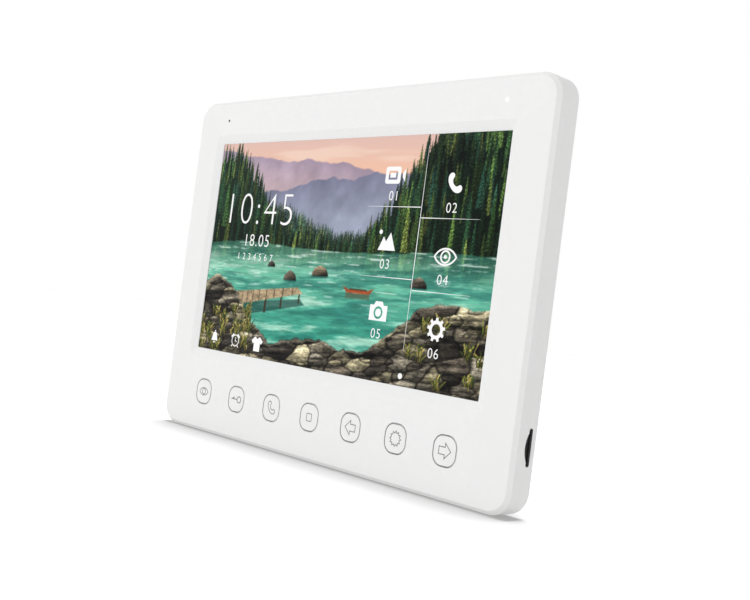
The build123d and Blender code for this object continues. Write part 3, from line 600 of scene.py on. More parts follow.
@dataclass(frozen=True)
class PictureFinish(Finish):
    """The lit picture: painted colours with finer foliage, water and stone between them.

    Attributes:
        paint: Name of the colour attribute that holds the painting.
        matter: Name of the attribute that says what is leaf, water and stone.
        cast: Share of its light that falls on what lies around it.
        details: Scale, detail, roughness and reach of the shades in leaf, water and stone.
    """

    paint: str
    matter: str
    cast: float = 0.15
    details: tuple[tuple, ...] = (((2300.0, 1.0, 1500.0), 3.0, 0.7, 0.75),
                                  ((240.0, 1.0, 2600.0), 3.0, 0.6, 0.16),
                                  ((900.0, 1.0, 2400.0), 4.0, 0.7, 0.5))

    def surface(self, net: Wiring) -> Inputs:
        """Lay out the painting and the shades between its points.

        Args:
            net: Wiring of the material.

        Returns:
            The shader's inputs.
        """
        painted, kinds = (net.add("Attribute", attribute_name=name).outputs["Color"]
                          for name in (self.paint, self.matter))
        factor: object = 1.0
        for kind, (scale, detail, roughness, reach) in zip(
                net.add("SeparateColor", {0: kinds}).outputs, self.details):
            shade = net.between(net.streaks(scale, detail, roughness), 0.3, 0.7, -reach, reach)
            factor = net.plus(factor, net.times(shade, kind))
        on_others = net.add("LightPath").outputs["Is Diffuse Ray"]
        return {"Base Color": BLACK, "Roughness": 0.35, "Specular IOR Level": 0.06,
                "Emission Color": net.blend(1.0, painted, net.grey(factor), "MULTIPLY"),
                "Emission Strength": net.between(on_others, 0.0, 1.0, 1.0, self.cast)}


@dataclass(frozen=True)
class ClothFinish(Finish):
    """Open black cloth, woven square.

    Attributes:
        tone: Colour as hex digits.
        pitch: Distance between threads in metres.
    """

    tone: str
    pitch: float = 0.0004

    def surface(self, net: Wiring) -> Inputs:
        """Lay out the weave and its lint.

        Args:
            net: Wiring of the material.

        Returns:
            The shader's inputs.
        """
        place = net.place()
        parts = net.add("SeparateXYZ", {0: place}).outputs
        warp, weft = (net.waves(parts[axis], self.pitch) for axis in "XZ")
        weave = net.between(net.math("MULTIPLY_ADD", warp, weft, 0.5), -1.0, 1.0)
        lint = net.noise(place, 900.0, 5.0, 0.7)
        shade = net.plus(net.times(weave, 0.6), net.times(lint, 0.4))
        return {"Base Color": net.blend(shade, linear(self.tone, 0.35), linear(self.tone)),
                "Roughness": net.between(lint, 0.3, 0.7, 0.85, 0.98), "Specular IOR Level": 0.2,
                "Normal": net.bump(weave, 0.00006, 0.8)}


FINISHES: dict[str, Finish] = {
    "white_shell": MouldedFinish(
        "white_moulding", "f2f2f1", 0.46, 2600.0, 0.000009, 0.12, "fafafa", 0.3, 0.06, 0.35, 0.0006),
    "key_white": MouldedFinish(
        "white_key_moulding", "f3f3f2", 0.4, 3600.0, 0.000005, 0.1, "fafafa", 0.3, 0.0, 0.35, 0.0006),
    "white_frame": MouldedFinish("white_frame_moulding", "e6e6e3", 0.55, 2600.0, 0.00001, 0.2),
    "ivory_plastic": MouldedFinish(
        "ivory_nylon", "e9e3cf", 0.48, 1900.0, 0.00001, 0.4, "f6f1e2", 0.3, 0.2, 0.4, 0.0004),
    "black_plastic": MouldedFinish(
        "black_moulding", "202022", 0.5, 2400.0, 0.000015, 0.6, "4a4a4c", 0.4, 0.1),
    "chip_black": MouldedFinish("chip_moulding", "2b2b2e", 0.58, 5200.0, 0.00001, 0.5, "55555a", 0.4, 0.2),
    "black_rubber": MouldedFinish("black_rubber", "262627", 0.72, 1500.0, 0.00002, 0.7, "3c3c3d", 0.3, 0.3),
    "foam": MouldedFinish("cell_foam", "3a3a3b", 0.92, 1400.0, 0.00012, 1.0, "555556", 0.2, 0.3, 0.2),
    "cone_paper": MouldedFinish(
        "pressed_paper", "3b3a38", 0.88, 1700.0, 0.00006, 1.0, "5b5955", 0.4, 0.3, 0.2),
    "lead_rubber": MouldedFinish(
        "wire_insulation", "8a1f1c", 0.42, 1200.0, 0.000008, 0.6, "a84a44", 0.3, 0.15),
    "magnet_iron": MouldedFinish(
        "sintered_magnet", "4b4b4d", 0.6, 3000.0, 0.00003, 0.9, "6d6d70", 0.5, 0.25, 0.6),
    "film": MouldedFinish("diffuser_film", "f1f1ee", 0.3, 5000.0, 0.000004, 0.1, "ffffff", 0.1, 0.0),
    "led_strip": MouldedFinish(
        "lamp_strip", "f3ecc4", 0.25, 1500.0, 0.000006, 0.8, "fff8dc", 0.2, 0.0, 0.6),
    "resistor_black": MouldedFinish(
        "resistor_glaze", "1d1e22", 0.2, 4200.0, 0.000004, 0.4, "44464c", 0.4, 0.1, 0.6),
    "zinc_steel": MetalFinish("zinc_plate", "c9ccd0", "a7abb0", 0.34, 0.8),
    "bright_steel": MetalFinish("rolled_steel", "d2d3d5", "b2b3b6", 0.26, 1.0),
    "screw_steel": MetalFinish("screw_plate", "c2c4c8", "9b9da2", 0.3, 0.4),
    "can_aluminium": MetalFinish("drawn_aluminium", "d8dadd", "bcbec2", 0.3, 0.6),
    "pin_brass": MetalFinish("tinned_brass", "dccb94", "b9a368", 0.28, 0.4),
    "contact_gold": MetalFinish("contact_gold", "e6c36a", "c49f48", 0.24, 0.2),
    "circuit_board": BoardFinish("board_green", "0f4a2c", "1f6b41", "d6c58a"),
    "amber_flex": StripedFinish("amber_film", "b8741f", "8f5514", 0.0008, 0.25),
    "white_ribbon": StripedFinish("white_ribbon", "eceef0", "c3c6ca", 0.001, 0.35),
    "clear_plastic": ClearFinish("clear_moulding", "f4f7f7"),
    "status_light": ClearFinish("lit_pipe", "ffffff", 1.0),
    "glass": ClearFinish("cell_glass", "1d2322"),
    "key_ink": InkFinish("grey_ink", "7d7d7d"),
    "board_ink": InkFinish("white_board_ink", "e8e8e2"),
    "screen_mark": InkFinish("lit_mark", "fbfbfb", lit=True),
    "picture": PictureFinish("lit_picture", "paint", "matter"),
    "dust_cloth": ClothFinish("dust_cloth", "454547")}


@cache
def finish(name: str) -> bpy.types.Material:
    """Return a finish's material, built the first time it is asked for."""
    return FINISHES[name].make()


def dress(node: str, name: str) -> None:
    """Give a CAD node its finish.

    Args:
        node: Name of the CAD node.
        name: Name of the finish.
    """
    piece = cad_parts[node]
    if not piece.material_slots:
        piece.data.materials.append(finish(name))
    for slot in piece.material_slots:
        slot.material = finish(name)
    LOG.info("%s: %s", node, name)


# ---------------------------------------------------------------------------------------- modelling aids
def clear_selection() -> None:
    """Leave nothing selected and no mode open."""
    if bpy.context.object and bpy.context.object.mode != "OBJECT":
        bpy.ops.object.mode_set(mode="OBJECT")
    bpy.ops.object.select_all(action="DESELECT")


def activate(piece: Piece) -> None:
    """Make one piece the only selected and active one.

    Args:
        piece: The piece.
    """
    clear_selection()
    piece.select_set(True)
    bpy.context.view_layer.objects.active = piece


def settle(piece: Piece) -> Piece:
    """Apply a piece's place, turn and size, so that its object is at the origin.

    Args:
        piece: The piece.

    Returns:
        The piece.
    """
    activate(piece)
    bpy.ops.object.transform_apply(location=True, rotation=True, scale=True)
    return piece


def added(place: tuple[float, ...] | Vector, size: tuple[float, ...], turn: tuple = (0.0, 0.0, 0.0)) -> Piece:
    """Place, size and turn the piece that was just added.

    Args:
        place: Where its middle goes.
        size: Its scale along each axis, before it is turned.
        turn: Its turn about each axis.

    Returns:
        The piece, with all three applied.
    """
    piece = bpy.context.object
    piece.location, piece.scale, piece.rotation_euler = place, size, turn
    return settle(piece)


def block(place: tuple[float, ...] | Vector, size: tuple[float, ...]) -> Piece:
    """Model a block.

    Args:
        place: Its middle.
        size: Its size along each axis.

    Returns:
        The block.
    """
    clear_selection()
    bpy.ops.mesh.primitive_cube_add(size=1.0)
    return added(place, size)


@contextmanager
def editing(piece: Piece, rule: Callable[[bpy.types.MeshPolygon], bool] | None = None) -> Iterator[None]:
    """Open edit mode on one piece, and close it again.

    Args:
        piece: The piece.
        rule: Says which faces are selected; where it is None, all are.
    """
    activate(piece)
    bpy.ops.object.mode_set(mode="EDIT")
    bpy.ops.mesh.select_mode(type="FACE")
    bpy.ops.mesh.select_all(action="SELECT")
    if rule:
        bpy.ops.mesh.select_all(action="DESELECT")
        bpy.ops.object.mode_set(mode="OBJECT")
        for face in piece.data.polygons:
            face.select = rule(face)
        bpy.ops.object.mode_set(mode="EDIT")
    yield
    bpy.ops.object.mode_set(mode="OBJECT")


def weld(piece: Piece) -> None:
    """Merge the doubled points of a mesh, so that it is closed, and turn its faces outwards.

    Args:
        piece: The mesh.
    """
    with editing(piece):
        bpy.ops.mesh.remove_doubles(threshold=0.0005 * MM)
        bpy.ops.mesh.normals_make_consistent(inside=False)


def round_edges(piece: Piece, radius: float, segments: int = 2) -> None:
    """Bevel all edges of a piece with a number of facets across each."""
    with editing(piece):
        bpy.ops.mesh.bevel(offset=radius, segments=segments, affect="EDGES")


def join(pieces: list[Piece]) -> Piece:
    """Join several meshes.

    Args:
        pieces: The meshes.

    Returns:
        The one mesh that is left.
    """
    activate(pieces[0])
    for piece in pieces:
        piece.select_set(True)
    bpy.ops.object.join()
    return bpy.context.object


def hand_over(piece: Piece, name: str, body: str, finish_name: str | None = None) -> None:
    """Name a finished piece, give it its finish and let it ride on its body.

    Args:
        piece: The finished piece, in place.
        name: Its name.
        body: The CAD body that it moves with.
        finish_name: Its finish, or None where the piece is dressed already.
    """
    settle(piece)
    piece.name = piece.data.name = name
    if finish_name:
        piece.data.materials.clear()
        piece.data.materials.append(finish(finish_name))
    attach(piece, body)
    LOG.info("%s: rides on %s, %d faces", name, body, len(piece.data.polygons))


# ----------------------------------------------------------------------------------------- flat outlines
def polar(radius: float, angle: float, x: float = 0.0, z: float = 0.0) -> Point:
    """Return the point at a radius and angle, in degrees from the X axis, round a centre."""
    return x + radius * math.cos(math.radians(angle)), z + radius * math.sin(math.radians(angle))


def arc(x: float, z: float, radius: float, start: float, end: float, steps: int = 16) -> Loop:
    """Return points along an arc between two angles, first and last included."""
    return [polar(radius, start + (end - start) * i / steps, x, z) for i in range(steps + 1)]


def ring(x: float, z: float, radius: float, steps: int = 40) -> Loop:
    """Return a full circle's points."""
    return arc(x, z, radius, 0, 360, steps)[:-1]


def rounded(x: float, z: float, width: float, height: float, radius: float, steps: int = 6) -> Loop:
    """Draw a rounded rectangle round a centre.

    Args:
        x: Centre across.
        z: Centre up.
        width: Its width.
        height: Its height.
        radius: Radius of its corners.
        steps: Steps along each corner.

    Returns:
        Its points, anticlockwise from the upper right corner.
    """
    right, top = width / 2 - radius, height / 2 - radius
    loop: Loop = []
    for side, level, start in ((1, 1, 0), (-1, 1, 90), (-1, -1, 180), (1, -1, 270)):
        loop += arc(x + side * right, z + level * top, radius, start, start + 90, steps)
    return loop


def moved(loop: Loop, x: float = 0.0, z: float = 0.0, turn: float = 0.0, size: float = 1.0) -> Loop:
    """Scale, turn (degrees) and move a loop, in that order."""
    cos, sin = polar(size, turn)
    return [(x + px * cos - pz * sin, z + px * sin + pz * cos) for px, pz in loop]


def placed(figures: list[Figure], x: float, z: float) -> list[Figure]:
    """Move whole figures."""
    return [[moved(loop, x, z) for loop in figure] for figure in figures]


def mirrored(half: Loop) -> Loop:
    """Close a loop whose right half is given, from its lower middle up, about the upright axis."""
    return half + [(-x, z) for x, z in half[::-1]]


def softened(loop: Loop, rounds: int = 2) -> Loop:
    """Cut a closed loop's corners again and again, which rounds it.

    Args:
        loop: Closed loop.
        rounds: How often its corners are cut.

    Returns:
        The rounder loop.
    """
    for _ in range(rounds):
        ends = zip(loop, loop[1:] + loop[:1])
        loop = [(ax * s + bx * (1 - s), az * s + bz * (1 - s)) for (ax, az), (bx, bz) in ends
                for s in (0.75, 0.25)]
    return loop


def parallel(loop: Loop, distance: float) -> Loop:
    """Draw a closed loop at a distance outside (or, if negative, inside) another.

    Args:
        loop: Closed loop, drawn anticlockwise.
        distance: Distance outwards.

    Returns:
        The new loop, mitred at its corners.
    """
    made: Loop = []
    for (ax, az), (bx, bz), (cx, cz) in zip(loop[-1:] + loop[:-1], loop, loop[1:] + loop[:1]):
        first, second = math.hypot(bx - ax, bz - az), math.hypot(cx - bx, cz - bz)
        nx, nz = (bz - az) / first, (ax - bx) / first
        mx, mz = (cz - bz) / second, (bx - cx) / second
        share = distance / max(0.3, 1 + nx * mx + nz * mz)
        made.append((bx + (nx + mx) * share, bz + (nz + mz) * share))
    return made


def outline(loop: Loop, width: float) -> Figure:
    """Draw a closed loop as a line.

    Args:
        loop: Closed loop.
        width: Width of the line, half of it on each side.

    Returns:
        The line's outer and inner edge.
    """
    area = sum(ax * bz - bx * az for (ax, az), (bx, bz) in zip(loop, loop[1:] + loop[:1]))
    if area < 0:
        loop = loop[::-1]
    return [parallel(loop, width / 2), parallel(loop, -width / 2)]


def bar(ax: float, az: float, bx: float, bz: float, width: float, end_width: float | None = None) -> Loop:
    """Draw a straight bar between two points.

    Args:
        ax: First end across.
        az: First end up.
        bx: Second end across.
        bz: Second end up.
        width: Width of the bar.
        end_width: Its width at the second end, where that is another.

    Returns:
        Its four corners, anticlockwise.
    """
    length = math.hypot(bx - ax, bz - az)
    nx, nz = (az - bz) / length / 2, (bx - ax) / length / 2
    far = width if end_width is None else end_width
    return [(ax - nx * width, az - nz * width), (bx - nx * far, bz - nz * far),
            (bx + nx * far, bz + nz * far), (ax + nx * width, az + nz * width)]


def flat_piece(figures: list[Figure], y: float, thickness: float) -> Piece:
    """Make a thin upright mesh from figures that are drawn flat, X to the right and Z up.

    Args:
        figures: Each figure is a list of loops; a loop inside another is a hole.
        y: Place of the middle of the thickness.
        thickness: Thickness.

    Returns:
        The mesh, with all figures joined.
    """
    pieces = []
    for loops in figures:
        curve = bpy.data.curves.new("figure", "CURVE")
        curve.dimensions, curve.fill_mode, curve.extrude = "2D", "BOTH", thickness / 2
        for loop in loops:
            spline = curve.splines.new("POLY")
            spline.points.add(len(loop) - 1)
            spline.use_cyclic_u = True
            for point, (x, z) in zip(spline.points, loop):
                point.co = (x * MM, z * MM, 0.0, 1.0)
        piece = bpy.data.objects.new("figure", curve)
        bpy.context.scene.collection.objects.link(piece)
        activate(piece)
        bpy.ops.object.convert(target="MESH")
        pieces.append(bpy.context.object)
        weld(pieces[-1])
    join(pieces)
    return added((0.0, y, 0.0), (1.0, 1.0, 1.0), (UPRIGHT, 0.0, 0.0))


def numerals(text: str, height: float, x: float, z: float, y: float, thickness: float,
             thinning: float = 0.0, facing: int = -1) -> Piece:
    """Make plain figures of a given height, centred on a place.

    Args:
        text: Digits and separators.
        height: Height of the digits.
        x: Centre across.
        z: Centre up.
        y: Place of the middle of the thickness.
        thickness: Thickness.
        thinning: How much thinner than usual the strokes are, as a share of the size.
        facing: -1 to be read from the front, +1 from behind.

    Returns:
        The digits as one mesh.
    """
    clear_selection()
    bpy.ops.object.text_add()
    data = bpy.context.object.data
    data.body, data.size, data.space_character, data.offset, data.extrude = text, 1.0, 1.12, -thinning, 0.5
    bpy.ops.object.convert(target="MESH")
    mesh = bpy.context.object.data
    corners = np.array([v.co for v in mesh.vertices])
    low, high = corners.min(0), corners.max(0)
    size = height / (high[1] - low[1])
    mesh.transform(Matrix.Translation(-(low + high) / 2))
    mesh.transform(Matrix.Diagonal((size, size, thickness, 1.0)))
    piece = added((x, y, z), (1.0, 1.0, 1.0), (UPRIGHT, 0.0, 0.0 if facing < 0 else math.pi))
    weld(piece)
    return piece


# ------------------------------------------------------------------------------------------ the painting
class Matter(IntEnum):
    """What a point of the painting shows, as the channel that holds it."""

    LEAF = 0
    WATER = 1
    STONE = 2


@dataclass
class Landscape:
    """A calm lake under wooded hills, painted on a grid of points.

    Places and sizes are shares of the picture, u running across and v up, both from 0 to 1.

    Attributes:
        TREES: Colours of the trees.
        BLOCKS: Colours of the blocks of rock.
        BLADES: Colours of the grass.
        RANGES: Height, bends, start of the bends, colour at the foot, colour at the top and roughness of
            each range of mountains, the far one first.
        BOULDERS: Place across, foot, width, height and colour of each boulder.
        columns: Points across.
        rows: Points up.
        aspect: Width over height.
        seed: Start of the random draws.
        u: Place of each point across.
        v: Place of each point up.
        paint: Its colour.
        matter: How much of it is leaf, water and stone.
        draw: The random draws.
    """

    TREES: ClassVar = ("24402a", "1c3524", "35542c", "17291d", "4a6430", "274a3a", "5d6b34")
    BLOCKS: ClassVar = ("948a76", "ada283", "7d7566", "5f574c", "c9bd98", "48423b", "938b7a")
    BLADES: ClassVar = ("5c6b2c", "82883a", "a89c50", "3d5124", "b7a763")
    RANGES: ClassVar = ((0.9, 4.6, 1.4, "c9b0b4", "a795a8", 0.10), (0.78, 6.1, 4.1, "9aa0b4", "7f8098", 0.12))
    BOULDERS: ClassVar = ((0.35, 0.38, 0.05, 0.035, "6f6558"), (0.46, 0.41, 0.06, 0.035, "8b7b63"),
                          (0.27, 0.43, 0.03, 0.02, "54504a"), (0.79, 0.40, 0.05, 0.035, "6b6255"))

    columns: int = 418
    rows: int = 233
    aspect: float = 1.792
    seed: int = 7
    u: np.ndarray = field(init=False)
    v: np.ndarray = field(init=False)
    paint: np.ndarray = field(init=False)
    matter: np.ndarray = field(init=False)
    draw: np.random.Generator = field(init=False)

    def __post_init__(self) -> None:
        """Lay out an empty grid."""
        self.draw = np.random.default_rng(self.seed)
        self.u, self.v = np.meshgrid(np.linspace(0, 1, self.columns), np.linspace(0, 1, self.rows))
        self.paint, self.matter = np.zeros((2, self.rows, self.columns, 3))

    def noise(self, across: float, up: float, octaves: int = 5, gain: float = 0.55,
              slant: float = 0.0) -> np.ndarray:
        """Return layered value noise with a mean near 0.5.

        Args:
            across: Cells of the coarsest layer across the picture.
            up: Cells of the coarsest layer up the picture.
            octaves: Number of layers.
            gain: Weight of each layer against the one before.
            slant: Rise of the rows of cells over the picture's width.

        Returns:
            One value per point.
        """
        total, weight, share = np.zeros_like(self.u), 0.0, 1.0
        reach = 1 + abs(slant)
        level = (self.v - slant * self.u + max(slant, 0.0)) / reach
        for _ in range(octaves):
            grid = self.draw.random((int(up * reach) + 3, int(across) + 3))
            x, y = self.u * across, level * up * reach
            i, j = x.astype(int), y.astype(int)
            low, high = (mix(grid[row, i], grid[row, i + 1], smooth(x - i)) for row in (j, j + 1))
            total += share * mix(low, high, smooth(y - j))
            weight += share
            share, across, up = share * gain, across * 2, up * 2
        return total / weight

    def uneven(self, amount: float, across: float, up: float, octaves: int, gain: float = 0.55) -> np.ndarray:
        """Return noise of a given amount with a mean near 0, one value per point."""
        return amount * (self.noise(across, up, octaves, gain) - 0.5)

    def cell(self, u: np.ndarray, v: np.ndarray) -> tuple[np.ndarray, np.ndarray]:
        """Return the row and the column of the grid at a place."""
        spans = ((v, self.rows), (u, self.columns))
        return tuple((np.clip(at, 0, 1) * (count - 1)).astype(int) for at, count in spans)

    def below(self, line: np.ndarray, soft: float = 0.003) -> np.ndarray:
        """Return 1 for the points under a line and 0 above it, with a soft edge."""
        return ease(-soft, soft, line - self.v)

    def lay(self, mask: np.ndarray, colour: np.ndarray, kind: Matter | None = None) -> None:
        """Paint a colour over the picture.

        Args:
            mask: Cover of the paint at each point.
            colour: One colour, or one per point.
            kind: What is painted, or None for air.
        """
        cover = np.clip(mask, 0, 1)[..., None]
        self.paint = mix(self.paint, colour, cover)
        self.matter = self.matter * (1 - cover)
        if kind is not None:
            self.matter[..., kind] += cover[..., 0]

    def sky(self) -> None:
        """Paint a warm evening sky with long thin clouds."""
        height = ease(0.8, 1.02, self.v)[..., None]
        self.lay(np.ones_like(self.u), mix(rgb("f6c3a6"), rgb("e3bfb4"), height))
        clouds = ease(0.5, 0.7, self.noise(3, 16)) * ease(0.78, 0.9, self.v)
        self.lay(clouds * 0.5, rgb("fae0cf"))

    def mountains(self) -> None:
        """Paint two ranges of bare mountains, the far one paler."""
        for height, bends, start, foot, top, rough in self.RANGES:
            line = height + 0.05 * np.sin(self.u * bends + start) + self.uneven(rough, 7, 1, 6, 0.5)[0:1]
            down = np.clip((line - self.v) / 0.16, 0, 1)[..., None]
            slopes = self.noise(14, 9, 5, 0.6, 0.35)[..., None]
            self.lay(self.below(line), mix(rgb(top), rgb(foot), down) * (0.84 + 0.32 * slopes))

    def conifer(self, x: float, base: float, height: float, spread: float, tone: np.ndarray) -> None:
        """Paint one conifer.

        Args:
            x: Its stem across the picture.
            base: Its foot up the picture.
            height: Its height.
            spread: Its width, as a share of its height.
            tone: Its colour.
        """
        half = height * spread / 2 / self.aspect
        columns = np.where(np.abs(self.u[0] - x) < half * 1.25 + 0.002)[0]
        rows = np.where((self.v[:, 0] > base - 0.004) & (self.v[:, 0] < base + height))[0]
        if not len(columns) or not len(rows):
            return
        area = np.ix_(rows, columns)
        up = np.clip((self.v[area] - base) / height, 0, 1)
        side = (self.u[area] - x) / half
        tier = (up * (6 + 30 * height) + 0.4 * np.sin(side * 2.5 + x * 90)) % 1.0
        jitter = self.draw.random(up.shape)
        reach = (1 - up) ** 0.85 * (0.78 - 0.34 * tier + 0.4 * jitter) + 0.03
        cover = np.clip((reach - np.abs(side)) * half * self.columns * 1.2 + 0.35, 0, 1) * (up < 1)
        speckle = self.draw.random(up.shape) - 0.5
        shade = 0.48 + 0.5 * tier - 0.22 * side + 0.7 * speckle + 0.35 * up
        colour = np.clip(tone * np.clip(shade, 0.12, 1.7)[..., None], 0, 1)
        self.paint[area] = mix(self.paint[area], colour, cover[..., None])
        self.matter[area] *= (1 - cover[..., None])
        self.matter[area[0], area[1], Matter.LEAF] += cover

    def hill(self, crest: np.ndarray, foot: float, size: tuple[float, float], rows: int, haze: float) -> None:
        """Paint a wooded hill, row by row from its crest down.

        Args:
            crest: Height of the ground along the hill's top.
            foot: Height of its foot.
            size: Height of a tree at the crest and at the foot.
            rows: Number of rows of trees.
            haze: How much air lies before the farthest trees.
        """
        self.lay(self.below(crest, 0.004), rgb("0d1a12"), Matter.LEAF)
        drift = self.noise(7, 5, 4, 0.6)
        for row in range(rows):
            near = row / (rows - 1)
            height = mix(*size, near)
            for x in np.arange(-0.01, 1.01, height * (0.08 + 0.05 * near)):
                x += self.draw.uniform(-0.5, 0.5) * height * 0.12
                top = float(np.interp(x, self.u[0], crest[0]))
                if top < foot:
                    continue
                base = mix(top, foot, near) - height * 0.2 + self.draw.uniform(-0.3, 0.3) * height
                tone = rgb(self.TREES[self.draw.integers(len(self.TREES))]) * self.draw.uniform(0.45, 1.3)
                tone = tone * (0.35 + 1.3 * drift[self.cell(x, base)])
                tone = mix(tone, rgb("74808c"), haze * (1 - near) ** 1.4)
                tall = height * self.draw.uniform(0.7, 1.3)
                self.conifer(x, base, tall, self.draw.uniform(0.2, 0.3), tone)

    def lake(self) -> None:
        """Paint the turquoise lake with ripples, pale currents and the shore's reflection."""
        shore = 0.52 + 0.012 * np.sin(self.u * 9.0) + self.uneven(0.012, 30, 1, 3)[0:1]
        colour = mix(rgb("7fc9ab"), rgb("3d9c86"), ease(0.52, 0.12, self.v)[..., None])
        flow = self.noise(5, 26, 5, 0.6, 0.12)
        for start, full, tone, share in ((0.5, 0.68, "c2ecd6", 0.75), (0.46, 0.3, "256f66", 0.6)):
            colour = mix(colour, rgb(tone), ease(start, full, flow)[..., None] * share)
        colour = colour * (0.84 + 0.32 * self.noise(20, 110, 3, 0.6)[..., None])
        rows = self.cell(self.u, 2 * shore - self.v + self.uneven(0.01, 40, 60, 3))[0]
        shift = self.uneven(9, 30, 110, 3).astype(int)
        columns = np.clip(np.arange(self.columns) + shift, 0, self.columns - 1)
        mirror = mix(self.paint[rows, columns], rgb("2c7f74"), 0.2)
        colour = mix(colour, mirror, 0.6 * ease(0.38, 0.53, self.v)[..., None])
        self.lay(self.below(shore), colour, Matter.WATER)
        gleam = ease(0.62, 0.78, self.noise(14, 120, 4, 0.6)) * ease(0.2, 0.4, self.v) * self.below(shore)
        self.lay(gleam * 0.7, rgb("e6f7ee"), Matter.WATER)

    def rocks(self, shore: np.ndarray, count: int, slant: float) -> None:
        """Paint a bank of broken, bedded rock.

        Args:
            shore: Height of the rock's upper edge along the picture.
            count: Number of blocks.
            slant: Rise of the beds over the picture's width.
        """
        ragged = shore + self.uneven(0.07, 20, 14, 5, 0.6)
        self.noise(24, 14, 4, 0.6)  # Not used: it only keeps the draws below in their order.
        ground = ease(-0.003, 0.004, ragged - self.v)
        inside = np.where(ground > 0)
        px, pz = self.u[inside] * self.aspect, self.v[inside] - slant * self.u[inside]
        x = self.draw.uniform(-0.05, self.aspect + 0.05, count)
        z = 0.52 * self.draw.random(count) ** 1.2 - 0.03 - slant * x / self.aspect
        size = self.draw.uniform(0.5, 2.4, count)
        dx = (px[:, None] - x[None, :]) / size
        dz = (pz[:, None] - z[None, :]) / size * 2.6
        distance = np.abs(dx) ** 1.6 + np.abs(dz) ** 1.6
        at, (nearest, second) = np.arange(len(px)), np.argsort(distance, axis=1)[:, :2].T
        crack = np.clip((distance[at, second] ** 0.6 - distance[at, nearest] ** 0.6) / 0.011, 0, 1)
        tones = np.array([rgb(tone) for tone in self.BLOCKS])
        base = tones[self.draw.integers(0, len(tones), count)][nearest]
        beds = self.noise(9, 60, 5, 0.75, slant)[inside]
        pits = self.noise(60, 60, 3, 0.7)[inside]
        facing = np.clip(0.62 + 6.0 * dz[at, nearest] - 2.2 * dx[at, nearest], 0.3, 1.4)
        shade = facing * (2.9 * beds - 0.55).clip(0.1, 2) * (0.62 + pits) * (0.3 + 0.7 * crack)
        colour = np.zeros_like(self.paint)
        colour[inside] = np.clip(base * shade[:, None], 0, 1)
        self.lay(ground, colour, Matter.STONE)
        rim = np.exp(-((self.v - ragged + 0.008) / 0.006) ** 2) * 0.4
        self.lay(rim * ground, rgb("d8cdb0"), Matter.STONE)

    def boulder(self, x: float, z: float, width: float, height: float, tone: str) -> None:
        """Paint one boulder that stands in the water, with its dark foot.

        Args:
            x: Its middle across.
            z: Its foot.
            width: Its width.
            height: Its height.
            tone: Its colour as hex digits.
        """
        side, up = (self.u - x) / width * 2, (self.v - z) / height
        edge = self.uneven(0.5, 30, 26, 4, 0.6)
        inside = 1 - (np.abs(side) ** 1.8 + np.sign(up) * np.abs(up) ** 1.6) + edge
        beds = self.noise(30, 90, 5, 0.7, 0.1)
        shade = np.clip(0.5 + 0.75 * up - 0.35 * side, 0.18, 1.5) * (0.2 + 1.6 * beds)
        foot = np.exp(-((up + 0.24) / 0.2) ** 2) * ease(1.2, 0.7, np.abs(side))
        self.lay(foot * 0.75, rgb("0f3230"), Matter.WATER)
        mask = ease(0.0, 0.1, inside) * (up > -0.24 + 0.2 * edge)
        self.lay(mask, np.clip(rgb(tone) * shade[..., None], 0, 1), Matter.STONE)

    def panel(self, corners: list[Point], colour: np.ndarray, kind: Matter, cover: float = 1.0) -> None:
        """Paint a convex shape.

        Args:
            corners: Its corners, anticlockwise.
            colour: One colour, or one per point.
            kind: What is painted; wood counts as stone.
            cover: How well the paint covers.
        """
        mask = np.full_like(self.u, 9.0)
        for (ax, az), (bx, bz) in zip(corners, corners[1:] + corners[:1]):
            nx, nz = (az - bz) * self.aspect, (bx - ax) * self.aspect
            away = (nx * (self.u - ax) + nz * (self.v - az)) / math.hypot(az - bz, nz)
            mask = np.minimum(mask, away * self.rows + 0.5)
        self.lay(np.clip(mask, 0, 1) * cover, colour, kind)

    def canoe(self, x: float, z: float, width: float) -> None:
        """Paint a canoe on the water, with its reflection.

        Args:
            x: Its middle across.
            z: Its keel.
            width: Its length.
        """
        half, deep = width / 2, width * 0.24
        hull = [(x - half, z + deep), (x - half * 0.75, z), (x + half * 0.75, z), (x + half, z + deep),
                (x + half * 0.6, z + deep * 0.55), (x - half * 0.6, z + deep * 0.55)]
        mirror = [(x - half * 0.8, z - deep * 0.9), (x + half * 0.8, z - deep * 0.9), (x + half * 0.75, z),
                  (x - half * 0.75, z)]
        inner = [(x - half * 0.6, z + deep * 0.5), (x + half * 0.6, z + deep * 0.5),
                 (x + half * 0.55, z + deep * 0.72), (x - half * 0.55, z + deep * 0.72)]
        self.panel(mirror, rgb("5f4f3a"), Matter.WATER, 0.55)
        wood = rgb("b5522c") * (0.75 + 0.5 * self.noise(20, 160, 3)[..., None])
        for corners, shade in (((1, 2, 4, 5), 1.0), ((0, 1, 5), 0.9), ((2, 3, 4), 0.9)):
            self.panel([hull[corner] for corner in corners], wood * shade, Matter.STONE)
        self.panel(inner, rgb("3b2418"), Matter.STONE)

